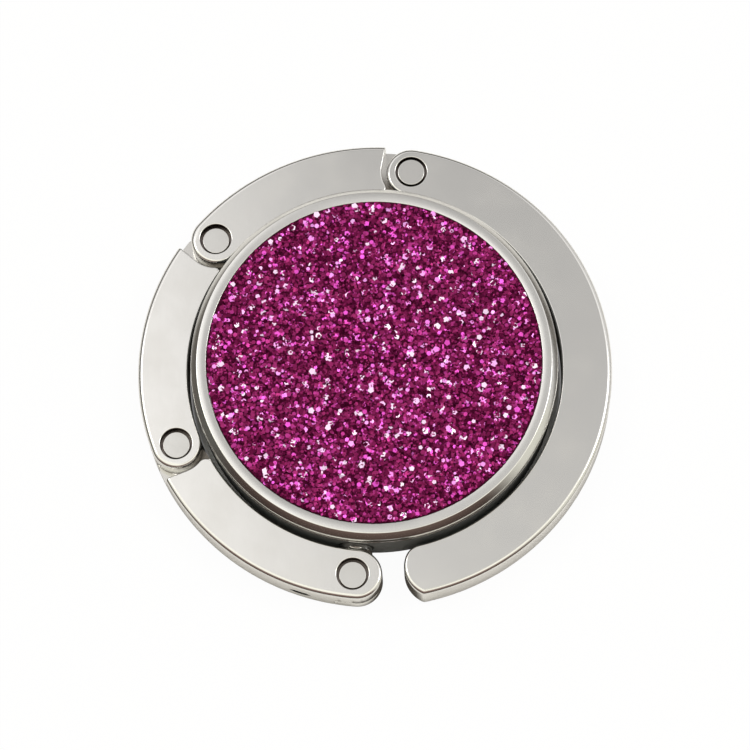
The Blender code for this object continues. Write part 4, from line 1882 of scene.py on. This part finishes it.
@dataclass
class GlitterFace:
    """The glitter face: a dark bed and thousands of small tilted flakes."""

    bed_drop: float = 0.17 * MM
    bed_edge: float = 0.05 * MM
    bed_hub_share: float = 0.5
    bed_steps: int = 160
    overhang: float = 0.06 * MM
    looseness: float = 0.6
    clump_size: float = 1.3 * MM
    clump_share: float = 0.24
    seed: int = 7
    sorts: tuple[FlakeSort, ...] = (
        FlakeSort("glitter_flakes", 7000, 6, 0.2 * MM, (0.0, 0.955)),
        FlakeSort("glitter_dust", 13000, 4, 0.135 * MM, (0.0, 0.9), tilt_deg=20.0),
        # Painted glints: near-white flakes that stand for sparkle
        FlakeSort("glitter_painted_glints", 520, 5, 0.28 * MM, (0.97, 1.0), tilt_deg=11.0),
    )

    def make_bed(self, finish: Finish) -> None:
        """Turn the bed in which the flakes lie.

        Args:
            finish: The glue.
        """
        low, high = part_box("glitter_sheet")
        rim, top, edge = high.x, high.z - self.bed_drop, self.bed_edge
        profile = [(rim * self.bed_hub_share, low.z), (rim, low.z), (rim, top - edge)]
        profile += [(rim - edge, top), (rim * self.bed_hub_share, top)]
        piece = turned("glitter_bed", profile, CENTRE, self.bed_steps)
        piece.smooth()
        piece.dress(finish, "pad", "magenta_glitter", "glitter_sheet")

    def places(self, count: int, rim: float, rng: random.Random) -> Iterator[Span]:
        """Give places in rows that are shaken loose.

        Args:
            count: About how many there are.
            rim: The radius that they stay inside.
            rng: Where the chances come from.

        Yields:
            The X and Y of each place.
        """
        pitch = math.sqrt(math.pi * rim**2 / count)
        rows = math.ceil(rim / pitch)
        for row in range(-rows, rows + 1):
            for column in range(-rows, rows + 1):
                x = (column + rng.uniform(-self.looseness, self.looseness)) * pitch
                y = (row + rng.uniform(-self.looseness, self.looseness)) * pitch
                if math.hypot(x, y) < rim:
                    yield x, y

    def scatter(self, sort: FlakeSort, finish: Finish) -> None:
        """Scatter copies of one sort of flake over the bed.

        Args:
            sort: The sort of flake.
            finish: The film that it is cut from.
        """
        rng = random.Random(self.seed + sort.sides)
        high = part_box("glitter_sheet")[1]
        points, faces = sort.cut()
        all_points: list[Vector] = []
        all_faces: list[tuple[int, ...]] = []
        tints: list[float] = []
        for x, y in self.places(sort.count, high.x + self.overhang - sort.radius, rng):
            tilt = math.radians(rng.gauss(0, sort.tilt_deg))
            turn = rng.uniform(0, math.tau)
            lean = Matrix.Rotation(tilt, 3, Vector((math.cos(turn), math.sin(turn), 0)))
            size = rng.uniform(*sort.sizes)
            place = lean @ Matrix.Rotation(rng.uniform(0, math.tau), 3, "Z") * size
            rise = abs(math.sin(tilt)) * sort.radius * size
            ceiling = high.z - rise - sort.thickness
            floor = min(ceiling, high.z - self.bed_drop)
            middle = Vector((x, y, rng.uniform(floor, ceiling)))
            clump = self.clump_share * noise.noise(Vector((x, y, 0)) / self.clump_size)
            tint = min(max(rng.uniform(*sort.tints) + clump, 0.0), sort.tints[1])
            first = len(all_points)
            all_points += [place @ point + middle for point in points]
            all_faces += [tuple(first + index for index in face) for face in faces]
            tints += [tint] * len(points)
        mesh = bpy.data.meshes.new(sort.name)
        mesh.from_pydata(all_points, [], all_faces)
        mesh.attributes.new(GlitterFlake.attribute, "FLOAT", "POINT").data.foreach_set("value", tints)
        flakes = bpy.data.objects.new(sort.name, mesh)
        bpy.context.scene.collection.objects.link(flakes)
        flakes.data.materials.append(finish.material())
        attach(flakes, "pad")
        log.info("%s: %d faces", sort.name, len(mesh.polygons))

    def make(self, bed: Finish, flake: Finish) -> None:
        """Make the bed and the flakes.

        Args:
            bed: The glue's finish.
            flake: The flakes' finish.
        """
        self.make_bed(bed)
        for sort in self.sorts:
            self.scatter(sort, flake)


# Light and camera

@dataclass(frozen=True)
class SoftLight:
    """The soft light round the object, by the direction (x, y, z) that it comes from.

    The flat faces mirror what lies near (-0.05, 0.29, 0.96), so small steps of x
    and y round there give each of them its own tone. The walls mirror the sides.
    """

    overhead: float = 0.64
    overhead_limits: Span = (0.5, 1.3)
    overhead_heights: Span = (0.62, 0.88)
    mirrored_y: float = 0.29
    back_fall: float = 1.1
    back_from: float = 0.22
    left_gleam: float = 10.2
    left_from: float = -0.059
    left_lean: float = 0.33
    right_gleam: float = 9.0
    right_from: float = 0.085
    side_high: Ramp = (-0.5, 0.6, 0.95, 0.8)
    side_low: Ramp = (0.1, 0.6, 0.14, 1.1)
    side_heights: Span = (0.3, 0.6)
    green: float = 0.99
    blue: Ramp = (0.05, 0.24, 0.88, 0.97)
    front_edge: Span = (-0.25, -0.6)
    front_top: Span = (0.7, 0.86)
    front_stops: Stops = (
        (0.0, (0.05, 0.033, 0.028)),
        (0.12, (0.06, 0.042, 0.035)),
        (0.26, (0.13, 0.09, 0.076)),
        (0.42, (0.29, 0.205, 0.178)),
        (0.68, (0.29, 0.205, 0.178)),
        (0.78, (0.46, 0.38, 0.32)),
        (0.88, (0.72, 0.68, 0.58)),
    )
    lamps: tuple[tuple[Vector, float], ...] = (
        (Vector((-0.55, 0.15, 0.82)), 4.0),
        (Vector((0.58, 0.22, 0.78)), 5.0),
    )
    lamp_edge_deg: Span = (11.0, 7.0)

    def from_above(self, x: Signal, y: Signal) -> Signal:
        """Light the flat faces: less towards the back, more at the left and at the right.

        Args:
            x: The direction's X.
            y: The direction's Y.

        Returns:
            The light's level.
        """
        left = (self.left_from - x - self.left_lean * (y - self.mirrored_y)).at_least(0.0)
        right = (x - self.right_from).at_least(0.0)
        fall = self.back_fall * (y.at_least(self.back_from) - self.mirrored_y)
        level = self.overhead - fall + self.left_gleam * left + self.right_gleam * right
        return level.at_least(self.overhead_limits[0]).at_most(self.overhead_limits[1])

    def from_the_sides(self, recipe: Recipe, x: Signal, z: Signal) -> Signal:
        """Light the walls: darkest low down at the left.

        Args:
            recipe: The world's nodes.
            x: The direction's X.
            z: The direction's Z.

        Returns:
            The light's level.
        """
        low = recipe.spread(x, *self.side_low)
        rising = recipe.spread(z, *self.side_heights, 0.0, 1.0)
        return recipe.spread(x, *self.side_high) * (low * (1 - rising) + rising)

    def colour(self, recipe: Recipe) -> Link:
        """Mix the light: the soft level, the lamps and a darker, warmer band in front.

        Args:
            recipe: The world's nodes.

        Returns:
            The light's colour.
        """
        way = recipe.node("ShaderNodeTexCoord").outputs["Generated"]
        x, y, z = recipe.parts(way)
        height = recipe.spread(z, *self.overhead_heights, 0.0, 1.0)
        level = self.from_the_sides(recipe, x, z) * (1 - height) + self.from_above(x, y) * height
        edges = [math.cos(math.radians(edge)) for edge in self.lamp_edge_deg]
        for direction, strength in self.lamps:
            towards = recipe.measure("DOT_PRODUCT", way, direction.normalized())
            level = level + recipe.spread(towards, *edges, 0.0, strength)
        parts = {0: level, 1: level * self.green, 2: level * recipe.spread(y, *self.blue)}
        plain = recipe.node("ShaderNodeCombineXYZ", None, parts)
        front = recipe.spread(y, *self.front_edge, 0.0, 1.0) * recipe.spread(z, *self.front_top, 1.0, 0.0)
        band = recipe.node("ShaderNodeValToRGB", {"stops": self.front_stops}, {"Fac": z})
        return recipe.blend(front, plain.outputs[0], band.outputs["Color"])


@dataclass
class Studio:
    """The pale floor, the soft surrounding light and the camera.

    The floor's spans are radii about the pad's centre, but for the mouth's, which
    are radii about the middle of the gap at the arm's tip.
    """

    light: SoftLight = SoftLight()
    target: Vector = Vector((0, 0, 3.7 * MM))
    sight: Vector = Vector((0.05161, -0.29032, 0.95554))
    image_up: Vector = Vector((-0.10245, 0.99474, 0))
    distance: float = 318 * MM
    lens: float = 160.9
    shift: Span = (0.0005, -0.00935)
    nearest: float = 10 * MM
    white: Colour = (1.0, 1.0, 1.0)
    paper_tint: Colour = (0.95, 0.95, 0.95)
    shade_tint: Colour = (0.13, 0.12, 0.11)
    floor_radius: float = 1.5
    floor_sides: int = 64
    floor_drop: float = 0.05 * MM
    floor_glow: float = 0.95
    floor_mirrored: float = 0.05
    open_floor: Span = (17.5 * MM, 18.3 * MM)
    mouth_middle: Vector = Vector((3.9 * MM, -20.1 * MM, 0))
    mouth_floor: Span = (3.9 * MM, 4.6 * MM)
    shaded_floor: Span = (21.8 * MM, 23.2 * MM)
    far_floor: Span = (32 * MM, 60 * MM)

    def set_camera(self) -> None:
        """Set the camera at the photograph's angle."""
        back = self.sight.normalized()
        right = self.image_up.cross(back).normalized()
        up = back.cross(right)
        camera = bpy.data.cameras.new("camera")
        camera.lens = self.lens
        camera.shift_x, camera.shift_y = self.shift
        camera.clip_start = self.nearest
        holder = bpy.data.objects.new("camera", camera)
        bpy.context.scene.collection.objects.link(holder)
        place = self.target + back * self.distance
        holder.matrix_world = Matrix.Translation(place) @ Matrix((right, up, back)).transposed().to_4x4()
        bpy.context.scene.camera = holder

    def paper(self, recipe: Recipe) -> Link:
        """Mix the floor: white to the camera past the pad, and darker near and far to what mirrors it.

        Args:
            recipe: The nodes of the floor's material.

        Returns:
            The floor's shader.
        """
        path = recipe.node("ShaderNodeLightPath")
        is_seen, is_mirrored, is_through = (
            recipe.signal(path, f"Is {kind} Ray") for kind in ("Camera", "Glossy", "Transmission")
        )
        place = recipe.object_place()
        radius = recipe.measure("LENGTH", place)
        apart = recipe.measure("DISTANCE", place, self.mouth_middle)
        outside = recipe.spread(radius, *self.open_floor, 0.0, self.floor_glow)
        in_mouth = recipe.spread(apart, *self.mouth_floor, self.floor_glow, 0.0)
        under = recipe.spread(radius, *self.shaded_floor, 1.0, 0.0)
        shade = (under + recipe.spread(radius, *self.far_floor, 0.0, 1.0)) * is_mirrored
        seen = is_seen * outside.at_least(in_mouth)
        mirrored = is_mirrored * self.floor_mirrored * (1 - shade)
        share = (seen + mirrored + is_through * self.floor_glow).at_most(1.0)
        colour = recipe.blend(shade, self.paper_tint, self.shade_tint)
        paper = recipe.node("ShaderNodeBsdfDiffuse", None, {"Color": colour})
        glow = recipe.node("ShaderNodeEmission", None, {"Color": recipe.full(self.white), "Strength": 1.0})
        mix = recipe.node("ShaderNodeMixShader", None, {0: share, 1: paper.outputs[0], 2: glow.outputs[0]})
        return mix.outputs[0]

    def lay_floor(self) -> None:
        """Lay a pale floor, which shows white and keeps a faint shadow."""
        put_down()
        bpy.ops.mesh.primitive_circle_add(
            vertices=self.floor_sides, radius=self.floor_radius, fill_type="NGON",
            location=(0, 0, -self.floor_drop)
        )
        floor = bpy.context.active_object
        floor.name = "floor"
        material = bpy.data.materials.new("pale_floor")
        material.use_nodes = True
        recipe = Recipe(material.node_tree)
        recipe.node("ShaderNodeOutputMaterial", None, {"Surface": self.paper(recipe)})
        floor.data.materials.append(material)

    def light_world(self) -> None:
        """Surround the object with the soft light, and show white behind it."""
        world = bpy.data.worlds.new("studio")
        bpy.context.scene.world = world
        world.use_nodes = True
        recipe = Recipe(world.node_tree)
        path = recipe.node("ShaderNodeLightPath")
        seen = recipe.signal(path, "Is Camera Ray").at_least(recipe.signal(path, "Is Transmission Ray"))
        shown = recipe.blend(seen, self.light.colour(recipe), self.white)
        sky = recipe.node("ShaderNodeBackground", None, {"Color": shown, "Strength": 1.0})
        recipe.node("ShaderNodeOutputWorld", None, {"Surface": sky.outputs[0]})

    def set_up(self) -> None:
        """Set up the whole studio."""
        self.set_camera()
        self.lay_floor()
        self.light_world()
        bpy.context.scene.view_settings.view_transform = "Standard"


# Assembly

def finish_hidden_nodes() -> None:
    """Give the frame's own nodes, which stay, their finishes."""
    for finish, names in HIDDEN_NODES:
        for name in names:
            node = frame["nodes"][name]
            node.data.materials.clear()
            node.data.materials.append(finish.material())
            log.info("%s: %s", name, finish.material().name)


def main() -> None:
    """Build and dress the whole purse hook."""
    logging.basicConfig(level=logging.INFO, format="%(name)s: %(message)s")
    Studio().set_up()
    finish_hidden_nodes()
    ring = Ring()
    nickel = NickelPlate()
    pad = TablePad(ring)
    pad.make_boot(MattRubber())
    pad.make_tray(nickel)
    GlitterFace().make(GlitterBed(), GlitterFlake())
    for number, body in enumerate(("neck", "first_link", "second_link", "third_link"), start=1):
        HingePin(number, body, ring).make(PinNickel())
    neck = SwivelNeck(ring)
    neck.make(nickel)
    ShortLink(
        "link_a", "first_link", ring, 0, lobe_reach=neck.tongue_reach, inner_corner=0.8 * MM,
        has_neck_notch=True, has_slit=True
    ).make(nickel)
    ShortLink("link_b", "second_link", ring, 1).make(nickel)
    ShortLink("link_c", "third_link", ring, 2).make(nickel)
    HookArm("hook_arm", "hook", ring, 3).make(nickel)
    put_down()


if __name__ == "__main__":
    main()
